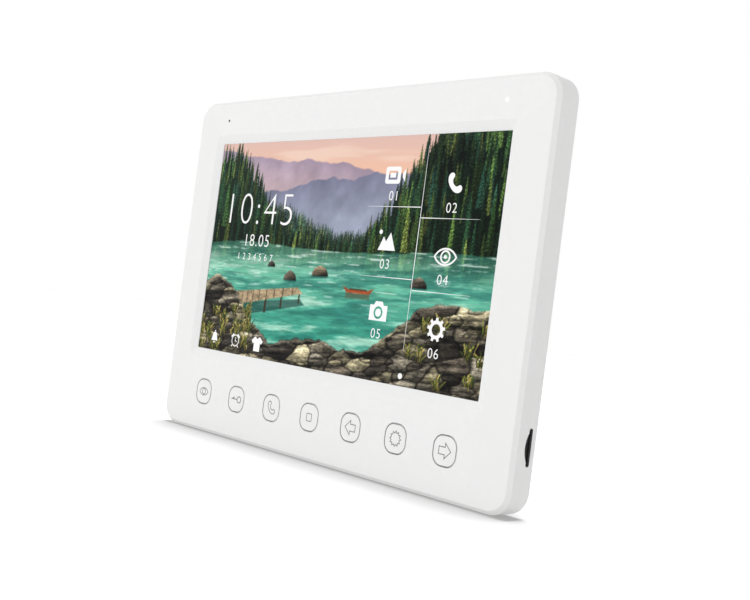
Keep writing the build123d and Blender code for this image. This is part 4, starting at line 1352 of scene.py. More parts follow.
    def jetty(self) -> None:
        """Paint a jetty of planks that leads out from the left bank."""
        near, far = ((0.10, 0.22), (0.10, 0.29)), ((0.405, 0.318), (0.385, 0.343))
        deck = [near[0], far[0], far[1], near[1]]
        self.panel([(x + 0.012, z - 0.05) for x, z in deck], rgb("17423d"), Matter.WATER, 0.7)
        for share in (0.35, 0.55, 0.75, 0.97):
            x, z = (a + (b - a) * share for a, b in zip(near[0], far[0]))
            wide, tall = 0.011 - 0.006 * share, 0.085 - 0.045 * share
            post = [(x - wide, z - tall), (x, z - tall), (x, z), (x - wide, z)]
            self.panel(post, rgb("3f3226"), Matter.STONE)
        along = (self.u - near[0][0]) / (far[0][0] - near[0][0])
        planks = (np.sqrt(np.clip(along, 0, 1)) * 15) % 1.0
        wood = rgb("b09a7a") * (0.55 + 0.45 * np.clip((0.5 - np.abs(planks - 0.5)) * 9, 0, 1))[..., None]
        self.panel(deck, wood * (0.6 + 0.75 * self.noise(70, 90, 3, 0.7)[..., None]), Matter.STONE)

    def grass(self, count: int, span: tuple[float, float], low: float, high: float) -> None:
        """Paint tufts of grass as short blades.

        Args:
            count: Number of blades.
            span: First and last place across.
            low: Lowest foot.
            high: Highest foot.
        """
        tufts = self.draw.uniform((span[0], low), (span[1], high), (max(4, count // 16), 2))
        for index in range(count):
            x, z = tufts[index % len(tufts)] + self.draw.normal(0, 0.007, 2)
            lean, length = self.draw.uniform(-0.014, 0.014), self.draw.uniform(0.02, 0.055)
            t = np.linspace(0, 1, max(2, int(length * self.rows * 1.5)))
            cells = self.cell(x + lean * t * t, z + length * t)
            tone = rgb(self.BLADES[index % len(self.BLADES)]) * self.draw.uniform(0.5, 1.1)
            self.paint[cells] = np.clip(tone * (0.6 + 0.6 * t[:, None]), 0, 1)
            self.matter[cells] = (0.4, 0.0, 0.0)

    def complete(self) -> None:
        """Paint the whole picture, from far to near."""
        self.sky()
        self.mountains()
        rise = 0.53 + 0.16 * ease(0.62, 0.2, self.u) + 0.1 * ease(0.44, 0.8, self.u)
        self.hill(rise + self.uneven(0.03, 12, 1, 4)[0:1], 0.51, (0.045, 0.07), 7, 0.5)
        sides = np.maximum(0.52 * ease(0.40, 0.06, self.u), 0.70 * ease(0.50, 0.90, self.u))
        self.hill(0.44 + sides + self.uneven(0.03, 14, 1, 4)[0:1] - 0.05, 0.5, (0.10, 0.18), 10, 0.12)
        self.lake()
        for boulder in self.BOULDERS:
            self.boulder(*boulder)
        self.canoe(0.60, 0.345, 0.105)
        self.jetty()
        bank = 0.10 + 0.24 * ease(0.36, 0.0, self.u) + 0.26 * ease(0.5, 1.0, self.u)
        self.rocks(bank + 0.03 * np.sin(self.u * 17.0), 240, 0.16)
        self.grass(420, (0.0, 0.22), 0.0, 0.2)
        self.grass(150, (0.78, 1.0), 0.02, 0.26)

    def layers(self) -> dict[str, np.ndarray]:
        """Read out the finished painting.

        Returns:
            Its colours in linear light and its matter, each with an alpha of 1.
        """
        alpha = np.ones(self.u.shape + (1,))
        return {"paint": np.concatenate([light(np.clip(self.paint, 0, 1)), alpha], axis=2),
                "matter": np.concatenate([self.matter, alpha], axis=2)}


# ------------------------------------------------------------------------------------------- pictograms
def handset(size: float) -> list[Figure]:
    """Draw a telephone handset that leans to the left.

    Args:
        size: Its width before it leans, in millimetres.

    Returns:
        Its figures, round its own centre.
    """
    half = [(0, -2.1), (1.3, -2.0), (2.6, -1.6), (3.7, -0.7), (4.1, 0.4), (3.7, 1.5), (2.7, 1.9), (1.9, 1.4),
            (1.7, 0.4), (1.1, -0.2), (0, -0.45)]
    loop = half + [(-x, z) for x, z in half[-2:0:-1]]
    return [[moved(softened(loop), turn=-48, size=size / 8.0)]]


def eye(width: float, height: float, line: float) -> list[Figure]:
    """Draw an open eye.

    Args:
        width: Its width in millimetres.
        height: Its height.
        line: Width of its lines.

    Returns:
        Its lids, iris and pupil, round its own centre.
    """
    radius = (width * width / 4 + height * height / 4) / height
    reach = math.degrees(math.asin(width / 2 / radius))
    upper = arc(0, height / 2 - radius, radius, 90 - reach, 90 + reach, 18)
    lower = arc(0, radius - height / 2, radius, 270 - reach, 270 + reach, 18)
    iris = height * 0.36
    pupil = ring(0, 0, iris * 0.34, 20)
    return [outline(upper + lower[1:-1], line), outline(ring(0, 0, iris), line), [pupil]]


def gear(outer: float, root: float, teeth: int, bore: float) -> list[Figure]:
    """Draw a toothed wheel.

    Args:
        outer: Radius over its teeth, in millimetres.
        root: Radius between them.
        teeth: Number of teeth.
        bore: Radius of its bore.

    Returns:
        Its figure, round its own centre.
    """
    tooth = ((-0.27, root), (-0.17, outer), (0.17, outer), (0.27, root))
    loop = [polar(radius, 360 * index / teeth + 90 + 360 / teeth * share)
            for index in range(teeth) for share, radius in tooth]
    return [[loop, ring(0, 0, bore)]]


SYMBOLS: dict[str, list[Figure]] = {
    "camcorder": [[rounded(-1.2, 0, 7.4, 6.0, 0.9), rounded(-1.2, 0, 4.4, 3.2, 0.3)],
                  [rounded(-1.2, 0, 2.8, 1.7, 0.2)], [[(3.5, 0.7), (4.9, 2.3), (4.9, -2.3), (3.5, -0.7)]]],
    "peaks": [[[(-4.3, -3.3), (4.3, -3.3), (1.4, 3.0), (-0.6, -0.2), (-1.9, 1.5)]],
              [ring(-3.6, 3.1, 0.8, 24)]],
    "camera": [[[(-4.3, -3.2), (4.3, -3.2), (4.3, 2.2), (2.4, 2.2), (1.7, 3.5), (-1.7, 3.5), (-2.4, 2.2),
                 (-4.3, 2.2)], ring(0, -0.4, 2.2)], [ring(0, -0.4, 1.4)]],
    "bell": [[[(-2.1, -1.6), *arc(0, 0.6, 1.35, 180, 0, 14), (2.1, -1.6)]],
             [arc(0, -2.0, 0.62, 180, 360, 10)], [ring(0, 2.35, 0.32, 12)]],
    "alarm_clock": [outline(ring(0, 0, 2.2), 0.38),
                    [bar(-2.7, 1.3, -1.2, 2.6, 0.7)], [bar(2.7, 1.3, 1.2, 2.6, 0.7)],
                    [bar(0, -0.1, 0, 1.4, 0.32)], [bar(0.15, 0, 1.0, -0.5, 0.32)],
                    [bar(-1.7, -1.9, -2.2, -2.6, 0.4)], [bar(1.7, -1.9, 2.2, -2.6, 0.4)]],
    "shirt": [[mirrored([(1.9, -2.8), (1.9, 0.6), (2.6, 0.1), (3.5, 1.3), (1.7, 2.8), (0.9, 2.8),
                         (0.5, 2.2)])]],
    "dot": [[ring(0, 0, 1.0)]]}


# --------------------------------------------------------------------------------------- the sub-assemblies
class Assembly:
    """A sub-assembly: CAD nodes that are dressed, and pieces that are modelled beside them.

    Attributes:
        nodes: Names of the CAD nodes, by their finish.
    """

    nodes: ClassVar[dict[str, str]] = {}

    def build(self) -> None:
        """Dress the CAD nodes, then make the pieces."""
        for name, nodes in self.nodes.items():
            for node in nodes.split():
                dress(node, name)
        self.pieces()

    def pieces(self) -> None:
        """Make the pieces that ride on the CAD nodes."""


@dataclass
class Casing(Assembly):
    """White front and rear shells with their screws."""

    nodes = {"white_shell": "front_shell rear_shell", "screw_steel": "shell_screws front_screws"}


@dataclass
class Display(Assembly):
    """Display module: the lit picture, the marks on it and the layers behind it.

    Attributes:
        border: Width of glass beyond the lit area.
        lift: Distance between the glass and the picture's layer.
        line: Width of the menu's lines, in millimetres.
        split: Place of the upright line across, in millimetres.
        uprights: First and last height of the two halves of that line, in millimetres.
        levels: Heights of the level lines on its left, in millimetres.
        step: How much lower those on its right are, in millimetres.
        gap: Distance of the level lines' inner ends from it, in millimetres.
        reach: Distance of their outer ends from it, in millimetres.
        menu: Pictograms with their places.
        menu_numbers: Places of the numbers under the menu's six pictograms.
    """

    nodes = {"glass": "lcd_cell", "bright_steel": "lcd_bezel lcd_tray", "white_frame": "lcd_mid_frame",
             "film": "diffuser_films", "clear_plastic": "light_guide", "led_strip": "backlight_strip",
             "amber_flex": "lcd_flex", "black_plastic": "lcd_clips"}
    menu: ClassVar = ((SYMBOLS["camcorder"], 27.0, 36.6), (handset(8.0), 55.0, 33.6),
                      (SYMBOLS["peaks"], 27.0, 13.6), (eye(9.6, 5.4, 0.62), 55.0, 9.4),
                      (SYMBOLS["camera"], 27.0, -11.0), (gear(4.0, 3.1, 9, 1.9), 55.0, -14.6),
                      (SYMBOLS["bell"], -66.6, -29.4), (SYMBOLS["alarm_clock"], -52.4, -29.6),
                      (SYMBOLS["shirt"], -38.2, -29.6), (SYMBOLS["dot"], 41.4, -31.6))
    uprights: ClassVar = ((12.01, 46.5), (11.99, -23.0))
    levels: ClassVar = (25.6, 1.0)
    menu_numbers: ClassVar = ((27.0, 29.4), (55.0, 25.6), (27.0, 5.6), (55.0, 1.8), (27.0, -18.6),
                              (55.0, -22.4))

    border: float = 3.2 * MM
    lift: float = 0.012 * MM
    line: float = 0.32
    split: float = 41.4
    step: float = 3.6
    gap: float = 0.4
    reach: float = 26.5

    def pieces(self) -> None:
        """Make the picture and the marks on it."""
        low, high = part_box("lcd_cell")
        self.front = low.y
        self.left, self.right = low.x + self.border, high.x - self.border
        self.bottom, self.top = low.z + self.border, high.z - self.border
        self.picture()
        self.mark(flat_piece(self.dividers(), *self.layer), "screen_lines")
        drawn = [figure for symbol, x, z in self.menu for figure in placed(symbol, x, z)]
        self.mark(flat_piece(drawn, *self.layer), "screen_pictograms")
        self.mark(self.writing(), "screen_numerals")

    @property
    def layer(self) -> tuple[float, float]:
        """Return the place and the thickness of the layer of marks."""
        return self.front - 2 * self.lift, self.lift / 2

    @staticmethod
    def mark(piece: Piece, name: str) -> None:
        """Hand over a lit mark of the picture."""
        hand_over(piece, name, "monitor", "screen_mark")

    def picture(self) -> None:
        """Make the picture as a fine grid that carries the painting."""
        width, height = self.right - self.left, self.top - self.bottom
        scene = Landscape(aspect=width / height)
        scene.complete()
        clear_selection()
        bpy.ops.mesh.primitive_grid_add(
            x_subdivisions=scene.columns - 1, y_subdivisions=scene.rows - 1, size=1.0)
        grid = added(((self.left + self.right) / 2, self.front - self.lift, (self.bottom + self.top) / 2),
                     (width, height, 1.0), (UPRIGHT, 0.0, 0.0))
        places = np.array([v.co for v in grid.data.vertices])
        row = np.rint((places[:, 2] - self.bottom) / height * (scene.rows - 1)).astype(int)
        column = np.rint((places[:, 0] - self.left) / width * (scene.columns - 1)).astype(int)
        for name, values in scene.layers().items():
            layer = grid.data.color_attributes.new(name, "FLOAT_COLOR", "POINT")
            layer.data.foreach_set("color", values[row, column].astype(np.float32).ravel())
        with editing(grid):
            bpy.ops.mesh.select_mode(type="EDGE")
            bpy.ops.mesh.region_to_loop()
            bpy.ops.mesh.extrude_edges_move(TRANSFORM_OT_translate={"value": (0.0, self.lift / 3, 0.0)})
            bpy.ops.mesh.edge_face_add()
            bpy.ops.mesh.select_all(action="SELECT")
            bpy.ops.mesh.normals_make_consistent(inside=False)
        hand_over(grid, "screen_picture", "monitor", "picture")

    def dividers(self) -> list[Figure]:
        """Draw the thin lines of the menu, tapered where they fade out.

        Returns:
            One figure per line. The two upright ones meet with a small lap.
        """
        figures = [[bar(self.split, start, self.split, end, self.line, 0.1)]
                   for start, end in self.uprights]
        for level in self.levels:
            for side, z in ((-1, level), (1, level - self.step)):
                start, end = self.split + self.gap * side, self.split + self.reach * side
                figures.append([bar(start, z, end, z, self.line, 0.06)])
        return figures

    def writing(self) -> Piece:
        """Write the clock, the date, the row of weekdays and the numbers of the menu's places.

        Returns:
            All of them as one mesh.
        """
        lines = [("10:45", 12.2, -47.0, 23.6, 0.022), ("18.05", 4.7, -46.6, 11.0, 0.008),
                 ("1 2 3 4 5 6 7", 2.7, -46.6, 4.4, 0.004)]
        lines += [(f"0{index}", 3.3, x, z, 0.006) for index, (x, z) in enumerate(self.menu_numbers, 1)]
        return join([numerals(text, height * MM, x * MM, z * MM, *self.layer, thinning)
                     for text, height, x, z, thinning in lines])


class Mark(Enum):
    """What is printed on each key, by the key's name."""

    VIEW = "view"
    UNLOCK = "unlock"
    TALK = "talk"
    STOP = "stop"
    BACK = "back"
    SETTINGS = "settings"
    FORWARD = "forward"


@dataclass
class KeyRow(Assembly):
    """Seven keys with a printed ring and a pictogram each, their switches and their board.

    Attributes:
        size: Side of the ring's middle, in millimetres.
        line: Width of the ring, in millimetres.
        mark_line: Width of the pictogram's lines, in millimetres.
        corner: Corner radius of the ring's middle, in millimetres.
        points: Points of the star on the settings key.
        film: Thickness of the ink in metres.
    """

    nodes = {"circuit_board": "key_board", "black_plastic": "switch_bodies", "white_ribbon": "key_ribbon",
             "ivory_plastic": "ribbon_connectors"}

    size: float = 9.61
    line: float = 0.24
    mark_line: float = 0.3
    corner: float = 3.63
    points: int = 12
    film: float = 0.016 * MM

    def pieces(self) -> None:
        """Dress the keys and print their marks."""
        for mark in Mark:
            dress(f"{mark.value}_key", "key_white")
            dress(f"{mark.value}_plunger", "black_plastic")
            low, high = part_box(f"{mark.value}_key")
            edge = rounded(0, 0, self.size, self.size, self.corner, 10)
            figures = placed([outline(edge, self.line), *self.figures(mark)],
                             (low.x + high.x) / 2 / MM, (low.z + high.z) / 2 / MM)
            hand_over(flat_piece(figures, low.y, self.film), f"{mark.value}_print", f"{mark.value}_button",
                      "key_ink")

    def figures(self, mark: Mark) -> list[Figure]:
        """Draw a key's pictogram.

        Args:
            mark: What is printed.

        Returns:
            Its figures, round the key's centre.
        """
        line = self.mark_line
        if mark is Mark.VIEW:
            return eye(5.7, 3.0, line)[:2]
        if mark is Mark.UNLOCK:
            bit = [(-1.3, -0.15), (-3.3, -0.15), (-1.3, 0.95)]
            return [outline(ring(1.75, 0, 1.2), line * 1.25), [bar(0.45, 0.0, -1.4, 0.0, line * 1.25)], [bit]]
        if mark is Mark.TALK:
            loop = handset(5.4)[0][0]
        elif mark is Mark.STOP:
            loop = rounded(0, 0, 2.7, 2.7, 0.3, 3)
        elif mark is Mark.SETTINGS:
            loop = [polar(1.9 if index % 2 else 2.55, 180 * index / self.points + 90)
                    for index in range(self.points * 2)]
        else:
            tip = -1 if mark is Mark.BACK else 1
            loop = [(x * tip, z) for x, z in ((2.65, 0), (0.1, 2.5), (0.1, 1.2), (-2.5, 1.2), (-2.5, -1.2),
                                              (0.1, -1.2), (0.1, -2.5))]
        return [outline(loop, line)]


@dataclass
class SoundAndLight(Assembly):
    """Microphone, speaker and status light.

    Attributes:
        cloth_radius: Radius of the cloth behind the sound slots.
        cloth: Thickness that it takes up, its dish included.
        gauze_radius: Radius of the gauze in the microphone's hole.
        gauze_thickness: Thickness of that gauze.
        gauze_depth: Depth of its middle under the front face.
    """

    nodes = {"can_aluminium": "microphone", "black_rubber": "microphone_boot", "status_light": "light_pipe",
             "led_strip": "status_led", "circuit_board": "led_board",
             "lead_rubber": "front_leads speaker_lead",
             "bright_steel": "speaker_frame", "magnet_iron": "speaker_magnet", "cone_paper": "speaker_cone",
             "foam": "speaker_gasket", "screw_steel": "speaker_screws", "ivory_plastic": "lead_headers"}

    cloth_radius: float = 15.6 * MM
    cloth: float = 0.25 * MM
    gauze_radius: float = 0.548 * MM
    gauze_thickness: float = 0.1 * MM
    gauze_depth: float = 0.16 * MM

    def pieces(self) -> None:
        """Make the cloth behind the slots and the gauze of the microphone."""
        self.dust_cloth()
        self.gauze()

    def gauze(self) -> None:
        """Make the dark gauze just inside the sound hole before the microphone."""
        low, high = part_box("microphone")
        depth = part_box("front_shell")[0].y + self.gauze_depth
        clear_selection()
        bpy.ops.mesh.primitive_cylinder_add(
            vertices=40, radius=self.gauze_radius, depth=self.gauze_thickness,
            location=((low.x + high.x) / 2, depth, (low.z + high.z) / 2), rotation=(UPRIGHT, 0.0, 0.0))
        piece = bpy.context.object
        with editing(piece, lambda face: len(face.vertices) > 4):
            for inset, dish in ((0.2, 0.2), (0.3, 0.1)):
                bpy.ops.mesh.inset(thickness=self.gauze_radius * inset, depth=-self.gauze_thickness * dish)
        hand_over(piece, "microphone_gauze", "monitor", "dust_cloth")

    def dust_cloth(self) -> None:
        """Make the round cloth between the speaker and the housing, dished a little at its middle."""
        low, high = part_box("speaker_gasket")
        centre = (low + high) / 2
        clear_selection()
        bpy.ops.mesh.primitive_circle_add(
            vertices=72, radius=self.cloth_radius, fill_type="NGON",
            location=(centre.x, high.y - self.cloth, centre.z), rotation=(UPRIGHT, 0.0, 0.0))
        piece = bpy.context.object
        with editing(piece):
            for share in (0.12, 0.3, 0.4, 0.4):
                bpy.ops.mesh.inset(thickness=self.cloth_radius * share * 0.8, depth=self.cloth * 0.12)
        solid = piece.modifiers.new("thickness", "SOLIDIFY")
        solid.thickness, solid.offset = self.cloth * 0.6, 0.0
        bpy.ops.object.modifier_apply(modifier=solid.name)
        hand_over(piece, "speaker_cloth", "monitor", "dust_cloth")


@dataclass
class CardSlot(Assembly):
    """Memory card, its socket, its contacts and a black lining in its slot, which is painted shade.

    Attributes:
        pads: Number of contacts.
        pitch: Distance between contacts.
        pad_width: Width of a contact.
        pad_length: Length of a contact.
        film: Thickness of the plating that stands proud.
        inset: Distance of the contacts from the card's inner end.
        shift: Distance of their middle below the card's.
        rear_gap: Card to the slot's rear edge, in millimetres.
        side_gap: Card to the slot's ends, in millimetres.
        end_width: Width of the slot at its ends, in millimetres.
        bow: How far the slot's front edge bows out, in millimetres.
        sheet: Thickness of the black lining of painted shade, in millimetres.
        lining_depth: How far that painted shade reaches into the slot.
        lining_sink: How far its outer edge lies under the casing's surface.
    """

    nodes = {"black_plastic": "memory_card card_socket"}

    pads: int = 8
    pitch: float = 1.1 * MM
    pad_width: float = 0.8 * MM
    pad_length: float = 2.9 * MM
    film: float = 0.02 * MM
    inset: float = 0.5 * MM
    shift: float = 0.4 * MM
    rear_gap: float = 0.6
    side_gap: float = 0.4
    end_width: float = 1.7
    bow: float = 1.3
    sheet: float = 0.12
    lining_depth: float = 1.9 * MM
    lining_sink: float = 0.02 * MM

    def pieces(self) -> None:
        """Plate the contacts and line the slot with black, as painted shade."""
        self.contacts()
        self.lining()

    def opening(self) -> Loop:
        """Draw the slot's edge, a rounded rectangle that bows out in front.

        Returns:
            The edge in millimetres, its first number running from front to rear and its second up.
        """
        low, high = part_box("memory_card")
        rear, across = high.y / MM + self.rear_gap, self.end_width
        half, level = (high.z - low.z) / 2 / MM + self.side_gap, (low.z + high.z) / 2 / MM
        reach, rise = self.bow + across / 2, half - across * 0.2
        radius = (rise * rise + reach * reach) / (2 * reach)
        turn = math.degrees(math.acos((radius - self.bow) / radius))
        loop = arc(rear - across - self.bow + radius, level, radius, 180 - turn, 180 + turn, 28)
        corner = across * 0.45
        first, last = rear - across + corner, rear - corner
        for y, side, start in ((first, -1, 180), (last, -1, 270), (last, 1, 0), (first, 1, 90)):
            loop += arc(y, level + side * (half - corner), corner, start, start + 90, 6)
        return loop

    def lining(self) -> None:
        """Make the thin black lining of the slot, painted shade on its inner walls, its outer edge following
        the casing's hollow.
        """
        shell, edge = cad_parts["front_shell"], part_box("front_shell")[1].x
        loop, innermost = self.opening(), edge - self.lining_depth / 2
        piece = flat_piece([[parallel(loop, -0.02), parallel(loop, -self.sheet)]],
                           self.lining_depth / 2 - edge, self.lining_depth)
        piece.rotation_euler = (0.0, 0.0, UPRIGHT)
        settle(piece)
        outside = [Vector((edge + 0.01, y * MM, z * MM)) for y, z in parallel(loop, 0.06)]
        for vertex in piece.data.vertices:
            if vertex.co.x < innermost:
                continue
            near = min(outside, key=lambda p: (p.y - vertex.co.y) ** 2 + (p.z - vertex.co.z) ** 2)
            hit, place, _, _ = shell.ray_cast(near, Vector((-1.0, 0.0, 0.0)))
            vertex.co.x = (place.x if hit and place.x > innermost else edge) - self.lining_sink
        # Painted shade: the black sheet darkens the slot's walls, where the casing is only in shade.
        hand_over(piece, "slot_shade_lining", "monitor", "black_plastic")

    def contacts(self) -> None:
        """Make the row of plated contacts on the card's rear face."""
        low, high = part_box("memory_card")
        middle = (low.z + high.z) / 2 - self.shift
        pieces = []
        for index in range(self.pads):
            z = middle + (index - (self.pads - 1) / 2) * self.pitch
            pieces.append(block((low.x + self.inset + self.pad_length / 2, high.y, z),
                                (self.pad_length, 2 * self.film, self.pad_width)))
            round_edges(pieces[-1], self.film * 0.6)
        hand_over(join(pieces), "card_contacts", "card", "contact_gold")


@dataclass
class Boards(Assembly):
    """Main board with its parts, and the connectors in the rear well.

    Attributes:
        chips: Number of small resistors in the well.
        chip_length: Length of a small resistor.
        chip_width: Its width.
        chip_height: Its height.
        cap: Length of its metal ends.
        number: Height of the numbers beside the connectors.
    """

    nodes = {"circuit_board": "main_board", "screw_steel": "main_board_screws",
             "ivory_plastic": "lcd_connector wire_connectors", "chip_black": "processor memory_chips",
             "can_aluminium": "capacitors crystal", "magnet_iron": "power_inductor",
             "black_plastic": "battery_holder", "bright_steel": "clock_battery",
             "pin_brass": "connector_pins"}

    chips: int = 10
    chip_length: float = 1.5 * MM
    chip_width: float = 0.8 * MM
    chip_height: float = 0.5 * MM
    cap: float = 0.28 * MM
    number: float = 1.6 * MM

    def pieces(self) -> None:
        """Place the small parts in the well and print the numbers."""
        self.resistors()
        self.numbers()

    def resistor(self) -> Piece:
        """Model one small resistor with metal ends at the origin.

        Returns:
            The resistor, its length along X and its back at Y 0.
        """
        body = self.chip_length / 2 - self.cap
        piece = block((0.0, self.chip_height / 2, 0.0), (2 * body, self.chip_height, self.chip_width))
        for name in ("resistor_black", "screw_steel"):
            piece.data.materials.append(finish(name))
        for side in (-1, 1):
            with editing(piece, lambda face: face.normal.x * side > 0.9 and face.center.x * side > 0):
                outwards = (side * self.cap, 0.0, 0.0)
                bpy.ops.mesh.extrude_region_move(TRANSFORM_OT_translate={"value": outwards})
        for face in piece.data.polygons:
            face.material_index = int(abs(face.center.x) > body + self.cap * 0.2)
        round_edges(piece, 0.04 * MM, 1)
        return piece

    def resistors(self) -> None:
        """Copy the resistor to its places between the two rows of connectors."""
        low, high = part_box("wire_connectors")
        board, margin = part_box("main_board")[1].y, 3.0 * MM
        step = (high.x - low.x - 2 * margin) / (self.chips - 1)
        model = self.resistor()
        pieces = []
        for index in range(self.chips):
            piece = model.copy()
            piece.data = model.data.copy()
            bpy.context.scene.collection.objects.link(piece)
            offset = (0.7 if index % 2 else -0.7) * MM
            piece.location = (low.x + margin + index * step, board, (low.z + high.z) / 2 + offset)
            pieces.append(settle(piece))
        bpy.data.objects.remove(model)
        hand_over(join(pieces), "well_resistors", "monitor")

    def numbers(self) -> None:
        """Print a plain number beside each connector on the board."""
        low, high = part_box("wire_connectors")
        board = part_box("main_board")[1].y
        places = [(x, z) for x in (low.x - 1.4 * MM, high.x + 2.2 * MM)
                  for z in (high.z - 3.0 * MM, low.z + 3.0 * MM)]
        pieces = [numerals(str(index), self.number, x, z, board, 0.02 * MM, facing=1)
                  for index, (x, z) in enumerate(places, 1)]
        hand_over(join(pieces), "board_numbers", "monitor", "board_ink")


@dataclass
class Bracket(Assembly):
    """Steel wall bracket, with an arrow stamped to show which way is up.

    Attributes:
        arrow: Height of the arrow in millimetres.
        line: Width of its outline in millimetres.
        below: Distance of its middle under the bracket's upper edge, in millimetres.
        depth: Thickness of the stamped line, in metres.
        proud: How far it stands out of the bracket, in metres.
    """

    nodes = {"zinc_steel": "wall_bracket"}

    arrow: float = 5.0
    line: float = 0.5
    below: float = 8.5
    depth: float = 0.06 * MM
    proud: float = 0.01 * MM

    def pieces(self) -> None:
        """Stamp the arrow on the bracket's rear face."""
        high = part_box("wall_bracket")[1]
        loop = [(0, 1), (-0.8, 0.1), (-0.28, 0.1), (-0.28, -1), (0.28, -1), (0.28, 0.1), (0.8, 0.1)]
        figure = outline(moved(loop, 0, high.z / MM - self.below, size=self.arrow / 2), self.line)
        piece = flat_piece([figure], high.y - self.depth / 2 + self.proud, self.depth)
        hand_over(piece, "bracket_arrow", "bracket", "zinc_steel")


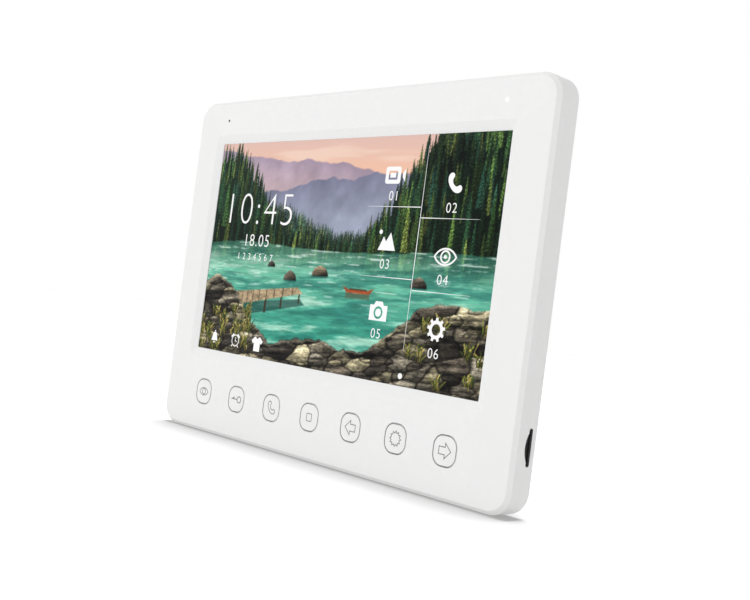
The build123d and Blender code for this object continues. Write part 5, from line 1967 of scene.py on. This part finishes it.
# ------------------------------------------------------------------------------------------- the studio
@dataclass
class Studio:
    """Pale floor, soft lamps and the camera.

    Attributes:
        focal: Focal length of the camera in millimetres.
        sensor: Width of its sensor in millimetres.
        yaw: Turn of the camera about the upright axis, in degrees.
        pitch: Tilt downwards, in degrees.
        roll: Turn about the line of sight, in degrees.
        distance: Distance from the point that it looks past.
        aim: That point, on the front face.
        floor_size: Side of the floor.
        floor_drop: Distance of the floor under the object.
        floor_tone: Reflectance of the floor where it is seen.
        floor_glow: Light that the floor seems to give off where it is seen.
        floor_bounce: Reflectance of the floor for the light that it throws back on the object.
        floor_fill: Further light that the floor gives the object, shadow or not.
        sun_level: Light of the high lamp on the floor.
        sun_width: Width of the high lamp, in degrees.
        sun_lean: Turn of the high lamp away from upright, in degrees.
        sky_level: Light from all round at the horizon.
        sky_rise: How it changes towards the zenith.
        sky_side: How it changes towards the right.
        sky_front: How it changes towards the front.
        lamp_place: Place of the soft lamp in front.
        lamp_aim: The point that it faces.
        lamp_size: Side of its square.
        lamp_power: Its power in watts.
    """

    focal: float = 50.252832
    sensor: float = 36.0
    yaw: float = 46.209
    pitch: float = -0.822
    roll: float = 7.383
    distance: float = 361.069 * MM
    aim: tuple[float, float, float] = (26.408 * MM, -20.0 * MM, -7.211 * MM)
    floor_size: float = 6.0
    floor_drop: float = 0.4 * MM
    floor_tone: float = 0.34
    floor_glow: float = 0.2
    floor_bounce: float = 0.1
    floor_fill: float = 0.51
    sun_level: float = 2.2
    sun_width: float = 17.0
    sun_lean: tuple[float, float, float] = (-3.5, -1.0, 0.0)
    sky_level: float = 1.09
    sky_rise: float = -0.4
    sky_side: float = -0.33
    sky_front: float = 0.12
    lamp_place: tuple[float, float, float] = (-0.3, -1.5, 0.45)
    lamp_aim: tuple[float, float, float] = (0.0, -0.01, 0.0)
    lamp_size: float = 1.0
    lamp_power: float = 2.0

    def build(self) -> None:
        """Set up floor, backdrop light, lamps and camera."""
        self.floor()
        self.world()
        self.front_lamp()
        self.camera()
        bpy.context.scene.view_settings.view_transform = "Standard"

    @staticmethod
    def linked(name: str, data: bpy.types.ID) -> bpy.types.Object:
        """Put a lamp or camera into the scene.

        Args:
            name: Its name.
            data: The lamp or camera itself.

        Returns:
            Its object.
        """
        made = bpy.data.objects.new(name, data)
        bpy.context.scene.collection.objects.link(made)
        return made

    @staticmethod
    def seen(net: Wiring) -> Socket:
        """Lay out the test for what is seen directly, mirrored or through glass.

        Args:
            net: Wiring of the material or world.

        Returns:
            A socket that is 1 for what is seen and 0 otherwise.
        """
        rays = net.add("LightPath").outputs
        seen = net.math("MAXIMUM", rays["Is Camera Ray"], rays["Is Glossy Ray"])
        return net.math("MAXIMUM", seen, rays["Is Transmission Ray"])

    def floor(self) -> None:
        """Lay a large pale floor just under the object."""
        clear_selection()
        level = CAD_BOX[0].z - self.floor_drop
        bpy.ops.mesh.primitive_plane_add(size=self.floor_size, location=(0.0, 0.0, level))
        floor = bpy.context.object
        floor.name = "studio_floor"
        material = bpy.data.materials.new("floor_paper")
        net = Wiring.of(material)
        seen = self.seen(net)
        tone = net.grey(net.between(seen, 0.0, 1.0, self.floor_bounce, self.floor_tone))
        glow = net.between(seen, 0.0, 1.0, self.floor_fill, self.floor_glow)
        both = net.add("AddShader", {0: net.add("BsdfDiffuse", {"Color": tone}).outputs[0],
                                     1: net.add("Emission", {"Color": WHITE, "Strength": glow}).outputs[0]})
        net.add("OutputMaterial", {0: both.outputs[0]})
        floor.data.materials.append(material)
        self.floor_sun(floor)

    def floor_sun(self, floor: Piece) -> None:
        """Hang the high lamp that gives the floor its white and the object its shadow.

        Args:
            floor: The floor, which alone receives this lamp's light.
        """
        data = bpy.data.lights.new("floor_sun", "SUN")
        data.energy, data.angle = math.pi * self.sun_level, math.radians(self.sun_width)
        lamp = self.linked("floor_sun", data)
        lamp.rotation_euler = [math.radians(a) for a in self.sun_lean]
        receivers = bpy.data.collections.new("floor_only")
        receivers.objects.link(floor)
        lamp.light_linking.receiver_collection = receivers

    def world(self) -> None:
        """Surround the object with even light and a white backdrop."""
        world = bpy.data.worlds.new("studio_world")
        bpy.context.scene.world = world
        net = Wiring.of(world)
        level: object = self.sky_level
        ways = net.add("SeparateXYZ", {0: net.add("TexCoord").outputs["Generated"]}).outputs
        for axis, change in (("Z", self.sky_rise), ("X", self.sky_side), ("Y", -self.sky_front)):
            level = net.plus(level, net.times(ways[axis], change))
        level = net.math("MAXIMUM", level, 0.05)
        seen = self.seen(net)
        strength = net.plus(net.times(level, net.minus(1.0, seen)), seen)
        backdrop = net.add("Background", {"Color": WHITE, "Strength": strength})
        net.add("OutputWorld", {0: backdrop.outputs[0]})

    def front_lamp(self) -> None:
        """Hang the square soft lamp in front, facing the object."""
        data = bpy.data.lights.new("front_lamp", "AREA")
        data.shape, data.size, data.energy = "SQUARE", self.lamp_size, self.lamp_power
        lamp = self.linked("front_lamp", data)
        lamp.location = self.lamp_place
        way = Vector(self.lamp_aim) - Vector(self.lamp_place)
        lamp.rotation_euler = way.to_track_quat("-Z", "Y").to_euler()

    def camera(self) -> None:
        """Place the camera."""
        yaw, pitch, roll = (math.radians(a) for a in (self.yaw, self.pitch, self.roll))
        ahead = Vector((-math.sin(yaw) * math.cos(pitch), math.cos(yaw) * math.cos(pitch), -math.sin(pitch)))
        right = Vector((math.cos(yaw), math.sin(yaw), 0.0))
        up = right.cross(ahead)
        across = right * math.cos(roll) + up * math.sin(roll)
        upward = up * math.cos(roll) - right * math.sin(roll)
        data = bpy.data.cameras.new("camera")
        data.sensor_width, data.lens, data.clip_start = self.sensor, self.focal, 0.01
        camera = self.linked("camera", data)
        turn = Matrix((across, upward, -ahead)).transposed().to_4x4()
        camera.matrix_world = Matrix.Translation(Vector(self.aim) - ahead * self.distance) @ turn
        bpy.context.scene.camera = camera


def main() -> None:
    """Build every sub-assembly in order, then the studio."""
    logging.basicConfig(level=logging.INFO, format="%(name)s %(message)s")
    parts = (Casing(), Display(), KeyRow(), SoundAndLight(), CardSlot(), Boards(), Bracket(), Studio())
    for assembly in parts:
        assembly.build()
        LOG.info("%s done", type(assembly).__name__)


if __name__ == "__main__":
    main()
